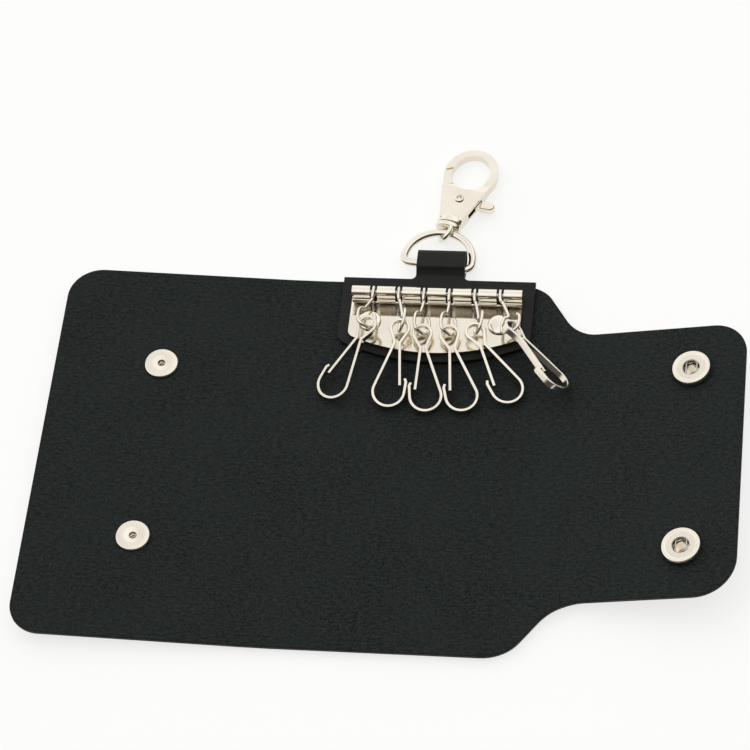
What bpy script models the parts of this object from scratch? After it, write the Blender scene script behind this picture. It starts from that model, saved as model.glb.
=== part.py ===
"""Key holder: a black leather case that folds in three over six key clips.

The clips hang from a riveted hinge plate, and a strap loop carries a D ring
with a swivelling trigger hook. The case lies open, inner face up. X runs from
the left panel to the flap, Y from the lower edge to the hook, Z is up.
"""
from math import acos, asin, atan2, copysign, cos, hypot, pi, radians, sin, tan

import bmesh
import bpy
from mathutils import Matrix, Vector

MM = 0.001

# Clearances
seat_gap = 0.25 * MM          # between parts that lie on each other
run_gap = 0.3 * MM            # between parts that move past each other
overrun = 1.0 * MM            # how far a cutter passes the face it cuts

# Leather case, lying flat
leather = 1.4 * MM
case_height = 122.2 * MM
centre_width = 76.9 * MM      # fold to fold
left_width = 69.7 * MM        # left fold to outer edge
flap_width = 53.6 * MM        # right fold to outer edge
flap_height = 88.0 * MM
corner_top_left = 10.0 * MM
corner_bottom_left = 9.0 * MM
corner_top_right = 9.5 * MM
corner_bottom_right = 12.0 * MM
shoulder_before_top = 6.85 * MM    # from the right fold back to where each shoulder starts
shoulder_after_top = 4.15 * MM     # and on to where it ends
shoulder_before_bottom = 8.85 * MM
shoulder_after_bottom = 4.35 * MM
shoulder_round_top = 9.0 * MM      # outward curve, then the inward one
shoulder_hollow_top = 11.0 * MM
shoulder_round_bottom = 13.0 * MM
shoulder_hollow_bottom = 15.0 * MM

# Folds
inside_room = 9.0 * MM        # height left for keys in the closed case
fold_rise = 0.5 * MM          # fold axis above the inner face
flap_rest_tilt = radians(10.8)

# Snap fasteners
snap_inset = 15.05 * MM       # snap centres inside the flap's upper and lower edges
snap_reach = 38.45 * MM       # from the left fold to its snaps
post_flange_radius = 4.95 * MM
post_flange_height = 0.6 * MM
post_tube_radius = 1.75 * MM
post_bore_radius = 1.1 * MM
post_dish_radius = 2.3 * MM
post_dish_depth = 0.25 * MM
stud_base_radius = 4.4 * MM
stud_base_height = 0.6 * MM
stud_neck_radius = 1.2 * MM
stud_neck_length = 1.55 * MM
stud_head_radius = 1.85 * MM
stud_height = 2.1 * MM
stud_wall = 0.4 * MM
socket_radius = 5.55 * MM
socket_rim_radius = 4.3 * MM
socket_height = 1.9 * MM
socket_mouth_radius = 2.35 * MM
socket_cell_radius = 3.7 * MM
socket_cell_height = 1.0 * MM
socket_lip = 0.45 * MM
spring_wire_radius = 0.25 * MM
spring_grip = 0.1 * MM        # between the spring and the stud's neck
spring_reach = 2.9 * MM
cap_radius = 5.2 * MM
cap_height = 1.3 * MM
cap_edge = 0.45 * MM
cap_tube_radius = 2.7 * MM
cap_tube_wall = 0.45 * MM

# Strap patch under the hook plate
patch = 1.2 * MM
patch_overhang = 0.6 * MM     # past the upper edge of the case
patch_width = 56.4 * MM
patch_border = 2.3 * MM       # past the lower edge of the plate
patch_side = 3.3 * MM         # past the plate at left and right
patch_corner = 4.5 * MM
tab_width = 14.2 * MM
tab_fillet = 1.6 * MM
tab_length = 10.3 * MM        # from the patch's upper edge to the end of the loop
loop_height = 2.8 * MM
loop_length = 6.6 * MM

# Hook plate
plate_shift = 1.2 * MM        # plate centre right of the middle of the case
sheet = 0.8 * MM
knuckles = 7
knuckle_width = 5.3 * MM
slot_width = 2.1 * MM
roll_radius = 1.8 * MM
roll_inset = 6.0 * MM         # roll axis below the upper edge of the case
plate_drop = 19.9 * MM        # roll axis to the lowest point of the plate
plate_arc_radius = 59.0 * MM
plate_corner = 2.4 * MM
trough_start = 7.1 * MM       # pressed trough, measured from the roll axis
trough_end = 2.6 * MM
trough_depth = 0.15 * MM
rod_radius = 0.6 * MM
rod_inset = 0.8 * MM

# Rivets of the plate
rivet_spacing = 37.7 * MM
rivet_line = 9.6 * MM         # below the roll axis
rivet_head_radius = 3.3 * MM
rivet_head_height = 1.0 * MM
rivet_shank_radius = 1.1 * MM
rivet_cap_radius = 3.6 * MM
rivet_cap_height = 1.0 * MM
rivet_cap_edge = 0.3 * MM
rivet_cap_bore = 0.65 * MM

# Hangers
hooks = 6
hanger_wire = 0.475 * MM      # radius
hanger_reach = 15.2 * MM      # roll axis to the wire that carries the clip
hanger_loop_half = 2.8 * MM
hanger_loop_height = 7.2 * MM
hanger_neck = 3.6 * MM
squareness = 0.7              # of the oval loop: 1 gives an ellipse
hanger_lean_shares = (-0.05, 0.14, 0.03, 0.05, 0.14, 0.26)  # sideways lean, of the reach
hanger_rise = tuple(radians(a) for a in (16.0, 11.5, 8.0, 8.0, 11.5, 13.5))
hanger_twist = tuple(radians(a) for a in (-34.0, 70.0, -46.0, -46.0, 66.0, 24.0))

# Key clips
ribbon = 0.85 * MM            # thickness of the flat wire
ribbon_width = 1.9 * MM
eye_radius = 2.6 * MM
neck_drop = 4.7 * MM          # eye centre to neck
neck_half = 0.72 * MM
neck_round = 1.6 * MM
clip_bow_drop = 19.8 * MM     # eye centre to the centre of the bow
clip_bow_radius = 4.5 * MM
gate_drop = 17.6 * MM         # eye centre to the gate's tip
gate_tip_inset = 1.6 * MM     # gate tip inside the hook's end
hook_end_drop = 16.3 * MM
clip_lip_inset = 0.5 * MM
clip_lip_rise = 0.9 * MM
clip_facing = (1, -1, 1, 1, 1, 1)        # side of the mouth, 1 to the left
clip_yaw = tuple(radians(a) for a in (-26.4, -5.2, 7.2, 14.6, 31.8, 41.1))
clip_twist = tuple(radians(a) for a in (6.0, -3.0, 0.0, 0.0, -3.0, -44.0))
clip_lift = tuple(a * MM for a in (0.0, 0.0, 0.0, 0.0, 0.0, 0.95))   # over the sloping fold
clip_shift = tuple(a * MM for a in (0.8, -0.9, 0.8, 0.9, -1.1, 1.3))   # along its hanger's wire
clip_slack = tuple(a * MM for a in (2.1, 2.6, 1.6, 1.6, 2.3, 2.3))   # wire to its eye's inside

# D ring
ring_wire = 1.15 * MM         # radius
ring_half = 10.2 * MM
ring_corner = 2.0 * MM
ring_height = 12.2 * MM
ring_slide = -1.5 * MM        # along its bar, to the left
ring_bar_line = 5.1 * MM      # bar above the patch's upper edge
ring_turn = radians(-7.6)

# Swivel eye
eye_wire = 0.75 * MM          # radius
eye_half = 2.75 * MM
eye_half_height = 2.3 * MM
swivel_shank_radius = 0.95 * MM
swivel_head_radius = 1.4 * MM
swivel_head_height = 0.9 * MM
swivel_floor = 0.9 * MM       # collar's lower wall, under the shank's head
swivel_flange_radius = 3.8 * MM
swivel_flange_height = 1.6 * MM
swivel_twist = radians(56.0)
hook_lean = radians(-6.3)     # hook against the D ring

# Trigger hook
hook_thick = 3.8 * MM
hook_edge = 0.8 * MM
collar_radius = 3.8 * MM
collar_height = 2.3 * MM
collar_flat = 2.6 * MM        # half height of the collar
hook_neck_half = 3.5 * MM
hook_cheek_half = 5.9 * MM
hook_cheek_line = 10.0 * MM   # cheek corners above the collar's lower face
bow_line = 19.7 * MM          # bow centre above the collar's lower face
bow_half = 8.05 * MM
bow_height = 9.1 * MM
bow_hole_half = 5.6 * MM
bow_hole_height = 6.9 * MM
nose_angle = radians(172.0)
nose_slant = radians(11.0)     # so that the gate can swing in past the nose
nose_gap = radians(4.5)
shoulder_angle = radians(233.0)
gate_side_angle = radians(194.0)
gate_foot_share = 0.50        # of the straight left side, down to the cheek
shoulder_share = 0.57
bow_thick = 2.4 * MM
taper_start = 11.5 * MM       # body thins towards the bow, above the collar
taper_end = 16.5 * MM
cheek_slot = 1.7 * MM
pin_line = 9.0 * MM
pin_radius = 0.85 * MM
pin_head_radius = 1.35 * MM
pin_head_height = 0.3 * MM
lever_thick = 1.1 * MM
lever_hub = 2.2 * MM
lever_reach = 9.4 * MM       # pin to the end of the thumb piece
lever_angle = radians(2.0)
lever_half = 1.5 * MM
thumb_thick = 2.8 * MM
thumb_length = 2.9 * MM
gate_thick = 2.4 * MM
lever_spring_radius = 0.55 * MM
lever_spring_wire = 0.12 * MM
lever_spring_turns = 4
lever_spring_length = 1.4 * MM

# Facets
wire_sides = 8
disc_sides = 24
arc_step = radians(18.0)
fine_step = radians(15.0)

# Places that follow from the sizes above
pitch = knuckle_width + slot_width
plate_width = knuckles * knuckle_width + (knuckles - 1) * slot_width
stud_drop = leather + seat_gap + stud_base_height + stud_height
rivet_cap_drop = leather + seat_gap + rivet_cap_height
left_spine = inside_room
right_spine = (left_spine + leather + 2 * seat_gap + stud_base_height + run_gap
               + socket_height)
left_rest_tilt = asin((stud_drop - rivet_cap_drop) / snap_reach)
flap_snap_reach = centre_width - snap_reach
spring_side = stud_neck_radius + spring_grip + spring_wire_radius
patch_top = seat_gap + patch
plate_base = patch_top + seat_gap + trough_depth
plate_top = plate_base + sheet
roll_height = plate_base + roll_radius
patch_edge = case_height / 2 + patch_overhang
roll_line = case_height / 2 - roll_inset
snap_spacing = flap_height - 2 * snap_inset
left_fold = -centre_width / 2
right_fold = centre_width / 2


def unit(point):
    return point.normalized()


def arc(centre, radius, start, end, step=arc_step, squash=1.0):
    """Points of a round or oval arc in the plane, ends included."""
    count = max(2, int(abs(end - start) / step + 0.5))
    turns = [start + (end - start) * i / count for i in range(count + 1)]
    return [Vector((centre[0] + radius * cos(t), centre[1] + radius * squash * sin(t)))
            for t in turns]


def rounded(corners, step=arc_step):
    """Closed outline through corners given as (x, y, radius), each one filleted."""
    outline = []
    total = len(corners)
    for i, (x, y, radius) in enumerate(corners):
        here = Vector((x, y))
        before = Vector(corners[i - 1][:2]) - here
        after = Vector(corners[(i + 1) % total][:2]) - here
        if radius <= 0:
            outline.append(here)
            continue
        angle = before.angle(after)
        reach = radius / tan(angle / 2)
        reach = min(reach, before.length / 2, after.length / 2)
        radius = reach * tan(angle / 2)
        centre = here + unit(unit(before) + unit(after)) * (radius / sin(angle / 2))
        first = here + unit(before) * reach - centre
        last = here + unit(after) * reach - centre
        start = atan2(first.y, first.x)
        sweep = atan2(last.y, last.x) - start
        sweep = (sweep + pi) % (2 * pi) - pi
        outline += arc(centre, radius, start, start + sweep, step)
    return outline


def tidy(outline):
    """The outline without points that repeat."""
    kept = []
    for point in outline:
        if not kept or (point - kept[-1]).length > seat_gap / 100:
            kept.append(point)
    if (kept[0] - kept[-1]).length < seat_gap / 100:
        kept.pop()
    return kept


def clip_outline(outline, limit, keep_right):
    """The part of an outline on one side of the line x = limit."""
    side = 1 if keep_right else -1
    kept = []
    for i, here in enumerate(outline):
        before = outline[i - 1]
        here_in = (here.x - limit) * side >= 0
        before_in = (before.x - limit) * side >= 0
        if here_in != before_in:
            share = (limit - before.x) / (here.x - before.x)
            kept.append(before.lerp(here, share))
        if here_in:
            kept.append(here.copy())
    return tidy(kept)


def prism(outline, low, high):
    """A flat outline extruded along Z."""
    bm = bmesh.new()
    face = bm.faces.new([bm.verts.new((p.x, p.y, low)) for p in tidy(outline)])
    raised = bmesh.ops.extrude_face_region(bm, geom=[face])["geom"]
    moved = [v for v in raised if isinstance(v, bmesh.types.BMVert)]
    bmesh.ops.translate(bm, verts=moved, vec=(0, 0, high - low))
    bmesh.ops.recalc_face_normals(bm, faces=bm.faces)
    return bm


def cylinder(radius, low, high, sides=disc_sides):
    return prism(arc((0, 0), radius, 0, 2 * pi, 2 * pi / sides), low, high)


def box(size_x, size_y, size_z):
    bm = bmesh.new()
    bmesh.ops.create_cube(bm, size=1.0)
    bmesh.ops.scale(bm, vec=(size_x, size_y, size_z), verts=bm.verts)
    return bm


def turned(profile, sides=disc_sides):
    """A closed profile of (radius, height) points turned about Z."""
    bm = bmesh.new()
    rings = []
    for radius, height in profile:
        if radius <= 0:
            rings.append([bm.verts.new((0, 0, height))])
            continue
        rings.append([bm.verts.new((radius * cos(2 * pi * i / sides),
                                    radius * sin(2 * pi * i / sides), height))
                      for i in range(sides)])
    for first, second in zip(rings, rings[1:] + rings[:1]):
        if len(first) == 1 and len(second) == 1:
            continue
        for i in range(sides):
            j = (i + 1) % sides
            corners = [first[i % len(first)], first[j % len(first)],
                       second[j % len(second)], second[i % len(second)]]
            bm.faces.new(list(dict.fromkeys(corners)))
    bmesh.ops.recalc_face_normals(bm, faces=bm.faces)
    return bm


def wire(path, radius, sides=wire_sides, closed=False):
    """A round wire along a path of points, with a twist-free section."""
    bm = bmesh.new()
    count = len(path)
    side = None
    rings = []
    for i, here in enumerate(path):
        if closed:
            along = unit(path[(i + 1) % count] - path[i - 1])
        else:
            along = unit(path[min(i + 1, count - 1)] - path[max(i - 1, 0)])
        if side is None:
            side = unit(along.orthogonal())
        side = unit(side - along * side.dot(along))
        other = along.cross(side)
        rings.append([bm.verts.new(here + radius * (side * cos(t) + other * sin(t)))
                      for t in (2 * pi * k / sides for k in range(sides))])
    pairs = list(zip(rings, rings[1:]))
    if closed:
        pairs.append((rings[-1], rings[0]))
    shift = 0
    if closed:
        gaps = [(rings[0][k].co - rings[-1][0].co).length for k in range(sides)]
        shift = gaps.index(min(gaps))
    for number, (first, second) in enumerate(pairs):
        turn = shift if closed and number == len(pairs) - 1 else 0
        for k in range(sides):
            m = (k + 1) % sides
            bm.faces.new((first[k], first[m], second[(m + turn) % sides],
                          second[(k + turn) % sides]))
    if not closed:
        bm.faces.new(rings[0])
        bm.faces.new(rings[-1])
    bmesh.ops.recalc_face_normals(bm, faces=bm.faces)
    return bm


def flat_wire(path, thickness, width):
    """A flat wire bent in the plane: its width stands along Z."""
    left, right = [], []
    for i, here in enumerate(path):
        before = path[max(i - 1, 0)]
        after = path[min(i + 1, len(path) - 1)]
        along_in = unit(here - before) if i else unit(after - here)
        along_out = unit(after - here) if i < len(path) - 1 else along_in
        along = unit(along_in + along_out)
        reach = thickness / 2 / max(along.dot(along_in), 0.5)
        across = Vector((-along.y, along.x)) * reach
        left.append(here + across)
        right.append(here - across)
    return prism(left + right[::-1], -width / 2, width / 2)


def moved(bm, matrix):
    bmesh.ops.transform(bm, matrix=matrix, verts=bm.verts)
    return bm


def shift(x, y, z):
    return Matrix.Translation((x, y, z))


def material(name, colour, roughness, metallic):
    finish = bpy.data.materials.new(name)
    finish.use_nodes = True
    shader = finish.node_tree.nodes["Principled BSDF"]
    shader.inputs["Base Color"].default_value = (*colour, 1.0)
    shader.inputs["Roughness"].default_value = roughness
    shader.inputs["Metallic"].default_value = metallic
    finish.diffuse_color = (*colour, 1.0)
    return finish


SUEDE = (0.018, 0.022, 0.022), 0.95, 0.0
SMOOTH_LEATHER = (0.016, 0.016, 0.017), 0.45, 0.0
NICKEL = (0.78, 0.75, 0.70), 0.18, 1.0
STEEL = (0.62, 0.61, 0.60), 0.28, 1.0


def smooth_mesh(name, bm):
    mesh = bpy.data.meshes.new(name)
    bm.to_mesh(mesh)
    bm.free()
    mesh.shade_smooth()
    mesh.set_sharp_from_angle(angle=radians(35))
    return mesh


def add(name, bm, finish, holder):
    """One sub-part, its mesh given about its holder's axis."""
    mesh = smooth_mesh(name, bm)
    part = bpy.data.objects.new(name, mesh)
    bpy.context.collection.objects.link(part)
    mesh.materials.append(material(name, *finish))
    part.parent = holder
    return part


def cut(part, bm, operation="DIFFERENCE"):
    """Cut or join a helper shape, given in the part's own frame."""
    number = len(part.modifiers)
    mesh = smooth_mesh(f"{part.name}.tool.{number}", bm)
    helper = bpy.data.objects.new(mesh.name, mesh)
    bpy.context.collection.objects.link(helper)
    helper.parent = part
    helper.hide_render = True
    helper.display_type = "WIRE"
    modifier = part.modifiers.new(operation.title() + str(number), "BOOLEAN")
    modifier.operation = operation
    modifier.object = helper
    modifier.solver = "EXACT"


def crease_rule():
    """A node group that marks the edges sharper than 35 degrees once a shape is cut."""
    tree = bpy.data.node_groups.new("Creases", "GeometryNodeTree")
    tree.interface.new_socket("Mesh", in_out="INPUT", socket_type="NodeSocketGeometry")
    tree.interface.new_socket("Mesh", in_out="OUTPUT", socket_type="NodeSocketGeometry")
    source = tree.nodes.new("NodeGroupInput")
    target = tree.nodes.new("NodeGroupOutput")
    angle = tree.nodes.new("GeometryNodeInputMeshEdgeAngle")
    sharp = tree.nodes.new("FunctionNodeCompare")
    sharp.operation = "LESS_EQUAL"
    sharp.inputs[1].default_value = radians(35)
    mark = tree.nodes.new("GeometryNodeSetShadeSmooth")
    mark.domain = "EDGE"
    tree.links.new(angle.outputs["Unsigned Angle"], sharp.inputs[0])
    tree.links.new(source.outputs[0], mark.inputs["Geometry"])
    tree.links.new(sharp.outputs[0], mark.inputs["Shade Smooth"])
    tree.links.new(mark.outputs["Geometry"], target.inputs[0])
    return tree


def mark_creases():
    rule = crease_rule()
    for part in bpy.data.objects:
        if part.type == "MESH" and part.modifiers:
            modifier = part.modifiers.new("Creases", "NODES")
            modifier.node_group = rule


def soften(part, width, segments=2):
    bevel = part.modifiers.new("Edges", "BEVEL")
    bevel.width = width
    bevel.segments = segments
    bevel.limit_method = "ANGLE"
    bevel.angle_limit = radians(40)


def axis(name, holder, place, turn=None):
    """An empty on a joint's axis, placed in its holder's frame."""
    empty = bpy.data.objects.new(name, None)
    empty.empty_display_size = ring_half
    bpy.context.collection.objects.link(empty)
    empty.parent = holder
    empty.matrix_local = Matrix.Translation(place) @ (turn or Matrix()).to_4x4()
    bpy.context.view_layer.update()
    return empty


def case_outline():
    """The whole case laid flat, counterclockwise from the lower left corner."""
    left = left_fold - left_width
    right = right_fold + flap_width
    half = case_height / 2
    low = flap_height / 2
    return rounded([
        (left, -half, corner_bottom_left),
        (right_fold - shoulder_before_bottom, -half, shoulder_round_bottom),
        (right_fold + shoulder_after_bottom, -low, shoulder_hollow_bottom),
        (right, -low, corner_bottom_right),
        (right, low, corner_top_right),
        (right_fold + shoulder_after_top, low, shoulder_hollow_top),
        (right_fold - shoulder_before_top, half, shoulder_round_top),
        (left, half, corner_top_left),
    ], fine_step)


def panel(name, holder, at, left, right):
    """One strip of the case between two fold lines, as seen from its holder."""
    outline = case_outline()
    if left is not None:
        outline = clip_outline(outline, left + run_gap / 2, True)
    if right is not None:
        outline = clip_outline(outline, right - run_gap / 2, False)
    bm = prism(outline, -leather, 0)
    return add(name, moved(bm, shift(-at[0], 0, -at[1])), SUEDE, holder)


def plate_outline(side, below, top):
    """The plate's outline with its bowed lower edge, widened at the sides and below."""
    half = plate_width / 2 + side
    radius = plate_arc_radius + below
    corner = patch_corner if below > 0 else plate_corner
    centre = roll_line - plate_drop + plate_arc_radius
    reach = half - corner
    inset = radius - corner
    spread = asin(reach / inset)
    corner_centre = (-reach, centre - inset * cos(spread))
    left = arc(corner_centre, corner, pi, 3 * pi / 2 - spread)
    bow = arc((0, centre), radius, -pi / 2 - spread, -pi / 2 + spread, spread / 6)
    right = [Vector((-p.x, p.y)) for p in reversed(left)]
    return [Vector((half, top)), Vector((-half, top))] + left[:-1] + bow + right[1:]


def strap_outline():
    """The patch in plan, with the strap standing out of its upper edge."""
    half = tab_width / 2
    end = patch_edge + tab_length + overrun
    fillet = tab_fillet
    side = [Vector((half, end))]
    side += arc((half + fillet, patch_edge + fillet), fillet, pi, 3 * pi / 2, radians(22))
    left = [Vector((-p.x, p.y)) for p in side]
    body = plate_outline(patch_side, patch_border, patch_edge)
    return left + body[1:] + body[:1] + side[::-1]


def strap_patch(root):
    """The patch, with a strap that loops round the D ring and comes back beneath."""
    end = patch_edge + tab_length
    middle = (patch_top + seat_gap) / 2
    inner = loop_height / 2
    outer = inner + patch
    bend = end - outer
    mouth = bend - (loop_length - 2 * inner)
    low = roll_line - plate_drop - patch_border - overrun
    turn_back = patch_edge + 2 * run_gap
    profile = [Vector((low, seat_gap)), Vector((turn_back, seat_gap))]
    profile += [Vector((mouth - inner / 2, middle - outer * 0.9)), Vector((mouth, middle - outer))]
    profile += arc((bend, middle), outer, -pi / 2, pi / 2)
    profile += [Vector((mouth, middle + outer)), Vector((mouth - inner / 2, middle + outer * 0.9))]
    profile += [Vector((turn_back, patch_top)), Vector((low, patch_top))]
    width = patch_width + 2 * overrun
    stand = Matrix(((0, 0, 1, 0), (1, 0, 0, 0), (0, 1, 0, 0), (0, 0, 0, 1)))
    centre = shift(plate_shift, 0, 0)
    body = moved(prism(profile, -width / 2, width / 2), centre @ stand)
    part = add("strap_patch", body, SMOOTH_LEATHER, root)
    keep = prism(strap_outline(), middle - 2 * outer, middle + 2 * outer)
    cut(part, moved(keep, centre), "INTERSECT")
    slot = arc((bend, middle), inner, -pi / 2, pi / 2)
    slot += arc((mouth, middle), inner, pi / 2, 3 * pi / 2)
    cut(part, moved(prism(slot, -width / 2, width / 2), centre @ stand))
    for side in (-1, 1):
        hole = cylinder(rivet_shank_radius + seat_gap, -overrun, patch_top + overrun)
        cut(part, moved(hole, rivet_place(side)))
    return part


def rivet_place(side):
    return shift(plate_shift + side * rivet_spacing / 2, roll_line - rivet_line, 0)


def sheet_profile():
    """The plate's section: flat, a pressed trough, then the roll round the rod."""
    middle = plate_base + sheet / 2
    start = roll_line - plate_drop - overrun
    line = [Vector((start, middle))]
    steps = 5
    for i in range(steps + 1):
        along = roll_line - trough_start + (trough_start - trough_end) * i / steps
        line.append(Vector((along, middle - trough_depth * sin(pi * i / steps) ** 2)))
    roll = roll_radius - sheet / 2
    line += arc((roll_line, roll_height), roll, -pi / 2, pi + radians(24), fine_step * 1.6)
    return line


def hook_plate(root):
    """Sheet metal plate whose upper edge is rolled into knuckles round the rod."""
    bm = flat_wire(sheet_profile(), sheet, plate_width)
    stand = Matrix(((0, 0, 1, plate_shift), (1, 0, 0, 0), (0, 1, 0, 0), (0, 0, 0, 1)))
    part = add("hook_plate", moved(bm, stand), NICKEL, root)
    top = roll_line + roll_radius + overrun
    keep = prism(plate_outline(0, 0, top), plate_base - overrun, roll_height + roll_radius + overrun)
    cut(part, moved(keep, shift(plate_shift, 0, 0)), "INTERSECT")
    for i in range(hooks):
        length = 2 * roll_radius + 2 * overrun
        slot = box(slot_width, length, length)
        place = hanger_x(i), roll_line - roll_radius - run_gap * 2 + length / 2, roll_height
        cut(part, moved(slot, shift(*place)))
    for side in (-1, 1):
        hole = cylinder(rivet_shank_radius + seat_gap, plate_base - overrun, plate_top + overrun)
        cut(part, moved(hole, rivet_place(side)))
    return part


def hook_rod(root):
    length = plate_width - 2 * rod_inset
    bm = cylinder(rod_radius, -length / 2, length / 2, 12)
    turn = Matrix.Rotation(pi / 2, 4, "Y")
    add("hook_rod", moved(bm, shift(plate_shift, roll_line, roll_height) @ turn), STEEL, root)


def plate_rivets(root):
    """Domed rivets on the plate and the caps that close them on the outer face."""
    base = plate_top + seat_gap
    foot = -leather - seat_gap - rivet_cap_bore + run_gap
    dome = [(rivet_head_radius * cos(t), base + rivet_head_height * (0.25 + 0.75 * sin(t)))
            for t in (pi / 2 * i / 4 for i in range(4))]
    head = [(rivet_head_radius, base)] + dome + [(0, base + rivet_head_height), (0, foot)]
    shank = [(rivet_shank_radius, foot), (rivet_shank_radius, base)]
    top = -leather - seat_gap
    bottom = top - rivet_cap_height
    bore = rivet_shank_radius + seat_gap
    cap = [(0, bottom), (rivet_cap_radius - 3 * rivet_cap_edge, bottom),
           (rivet_cap_radius - rivet_cap_edge, bottom + rivet_cap_edge),
           (rivet_cap_radius, top - rivet_cap_edge), (rivet_cap_radius - rivet_cap_edge, top),
           (bore, top), (bore, top - rivet_cap_bore), (0, top - rivet_cap_bore)]
    for side, name in ((-1, "left"), (1, "right")):
        add(f"plate_rivet_{name}", moved(turned(head + shank), rivet_place(side)), NICKEL, root)
        add(f"rivet_cap_{name}", moved(turned(cap), rivet_place(side)), NICKEL, root)


def oval(half_width, half_height, angle):
    """A point of a full oval, squarer than an ellipse."""
    x, y = cos(angle), sin(angle)
    return (copysign(half_width * abs(x) ** squareness, x), copysign(half_height * abs(y) ** squareness, y))


def hanger_x(number):
    return plate_shift + (number - (hooks - 1) / 2) * pitch


def hanger(number, root):
    """A bent wire: a small eye on the rod, a neck and an oval loop for the clip."""
    turn = Matrix.Rotation(-hanger_rise[number], 3, "X")
    place = hanger_x(number), roll_line, roll_height
    holder = axis(f"hanger_{number + 1}_axis", root, place, turn)
    eye = rod_radius + run_gap + hanger_wire
    lean = hanger_lean_shares[number] * hanger_reach
    path = [Vector((0, eye * sin(t), eye * cos(t)))
            for t in (radians(286 - 26 * i) for i in range(12))]
    loop_top = hanger_reach - hanger_loop_height
    path.append(Vector((lean * 0.06, -(eye + hanger_neck) / 2, eye * 0.55)))
    path.append(Vector((lean * 0.3, -hanger_neck, 0)))
    across = Vector((cos(hanger_twist[number]), 0, sin(hanger_twist[number])))
    centre = Vector((lean, -(loop_top + hanger_loop_height / 2), 0))
    half = hanger_loop_height / 2
    for i in range(15):
        t = radians(104 + 22.5 * i)
        wide, high = oval(hanger_loop_half, half, t)
        path.append(centre + across * wide + Vector((0, high, 0)))
    add(f"hanger_{number + 1}", wire(path, hanger_wire), NICKEL, holder)
    return holder


def tangent_turn(point, centre, radius, side):
    """Angle at which a straight run from a point meets a circle."""
    away = Vector(point) - Vector(centre)
    return atan2(away.y, away.x) + side * acos(radius / away.length)


def clip_path(facing):
    """The bent centre line of a key clip, its eye's centre at the origin."""
    bow = Vector((0, -clip_bow_drop))
    hook_end = Vector((-clip_bow_radius, -hook_end_drop))
    gate_end = Vector((-clip_bow_radius + gate_tip_inset, -gate_drop))
    neck_left = Vector((-neck_half, -neck_drop))
    neck_right = Vector((neck_half, -neck_drop))
    eye_left = tangent_turn(neck_left, (0, 0), eye_radius, -1)
    eye_right = tangent_turn(neck_right, (0, 0), eye_radius, 1)
    bow_right = tangent_turn(neck_right, bow, clip_bow_radius, -1)
    eye = arc((0, 0), eye_radius, eye_left % (2 * pi), (eye_right % (2 * pi)) - 2 * pi, arc_step)
    lower = arc(bow, clip_bow_radius, bow_right, -pi, arc_step * 0.8)
    lip = hook_end + Vector((clip_lip_inset, clip_lip_rise))
    path = [gate_end, neck_left] + eye + [neck_right] + lower + [hook_end, lip]
    return [Vector((p.x * facing, p.y)) for p in path]


def eye_drop(number):
    """How far a clip's eye reaches past the wire that carries it."""
    return hanger_wire + clip_slack[number] + ribbon / 2


def clip_slope(number, height):
    """Angle at which a clip leans from its hanger down to the leather."""
    twist = clip_twist[number]
    reach = clip_bow_drop + eye_radius - eye_drop(number)
    bow = clip_bow_radius + ribbon / 2
    slope = 0
    for _ in range(6):
        edge = ribbon_width / 2 * cos(twist) * cos(slope)
        below = bow * hypot(sin(slope), sin(twist) * cos(slope))
        slope = asin((height - seat_gap - clip_lift[number] - edge - below) / reach)
    return slope


def key_clip(number, root, holder):
    """A spring clip bent from flat wire, hung through its hanger's loop."""
    hang = holder.matrix_local
    lean = hanger_lean_shares[number] * hanger_reach
    slide = clip_shift[number]
    wire_turn = hanger_twist[number]
    link = hang @ Vector((lean + slide * cos(wire_turn), -hanger_reach, slide * sin(wire_turn)))
    turn = (Matrix.Rotation(clip_yaw[number], 3, "Z")
            @ Matrix.Rotation(clip_slope(number, link.z), 3, "X")
            @ Matrix.Rotation(-clip_twist[number], 3, "Y"))
    local = hang.inverted() @ Matrix.Translation(link) @ turn.to_4x4()
    clip_axis = axis(f"key_clip_{number + 1}_axis", holder, local.translation, local.to_3x3())
    bm = flat_wire(clip_path(clip_facing[number]), ribbon, ribbon_width)
    place = shift(0, eye_drop(number) - eye_radius, 0)
    add(f"key_clip_{number + 1}", moved(bm, place), NICKEL, clip_axis)


def ring_frame():
    """Where the D ring's bar lies, with the ring reaching along +Y."""
    link = Vector((plate_shift, patch_edge + ring_bar_line, (patch_top + seat_gap) / 2))
    lift = swivel_height() - link.z
    turn = (Matrix.Rotation(ring_turn, 3, "Z")
            @ Matrix.Rotation(asin(lift / ring_height), 3, "X"))
    return link, turn


def swivel_height():
    """Height of the D ring's crown, which the swivel eye holds off the table."""
    low = (eye_half + eye_wire) * sin(swivel_twist)
    return low + seat_gap - rivet_cap_drop


def d_ring(root):
    """A D ring: a straight bar, two tight corners and an oval bow."""
    link, turn = ring_frame()
    holder = axis("d_ring_axis", root, link, turn)
    side = ring_half - ring_corner
    path = arc((0, ring_corner), ring_half, 0, pi, arc_step * 0.6,
               (ring_height - ring_corner) / ring_half)
    path += arc((-side, ring_corner), ring_corner, pi, 3 * pi / 2, radians(30))[1:]
    path += arc((side, ring_corner), ring_corner, -pi / 2, 0, radians(30))[:-1]
    points = [Vector((p.x + ring_slide, p.y, 0)) for p in path]
    add("d_ring", wire(points, ring_wire, 10, closed=True), NICKEL, holder)
    return holder


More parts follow.
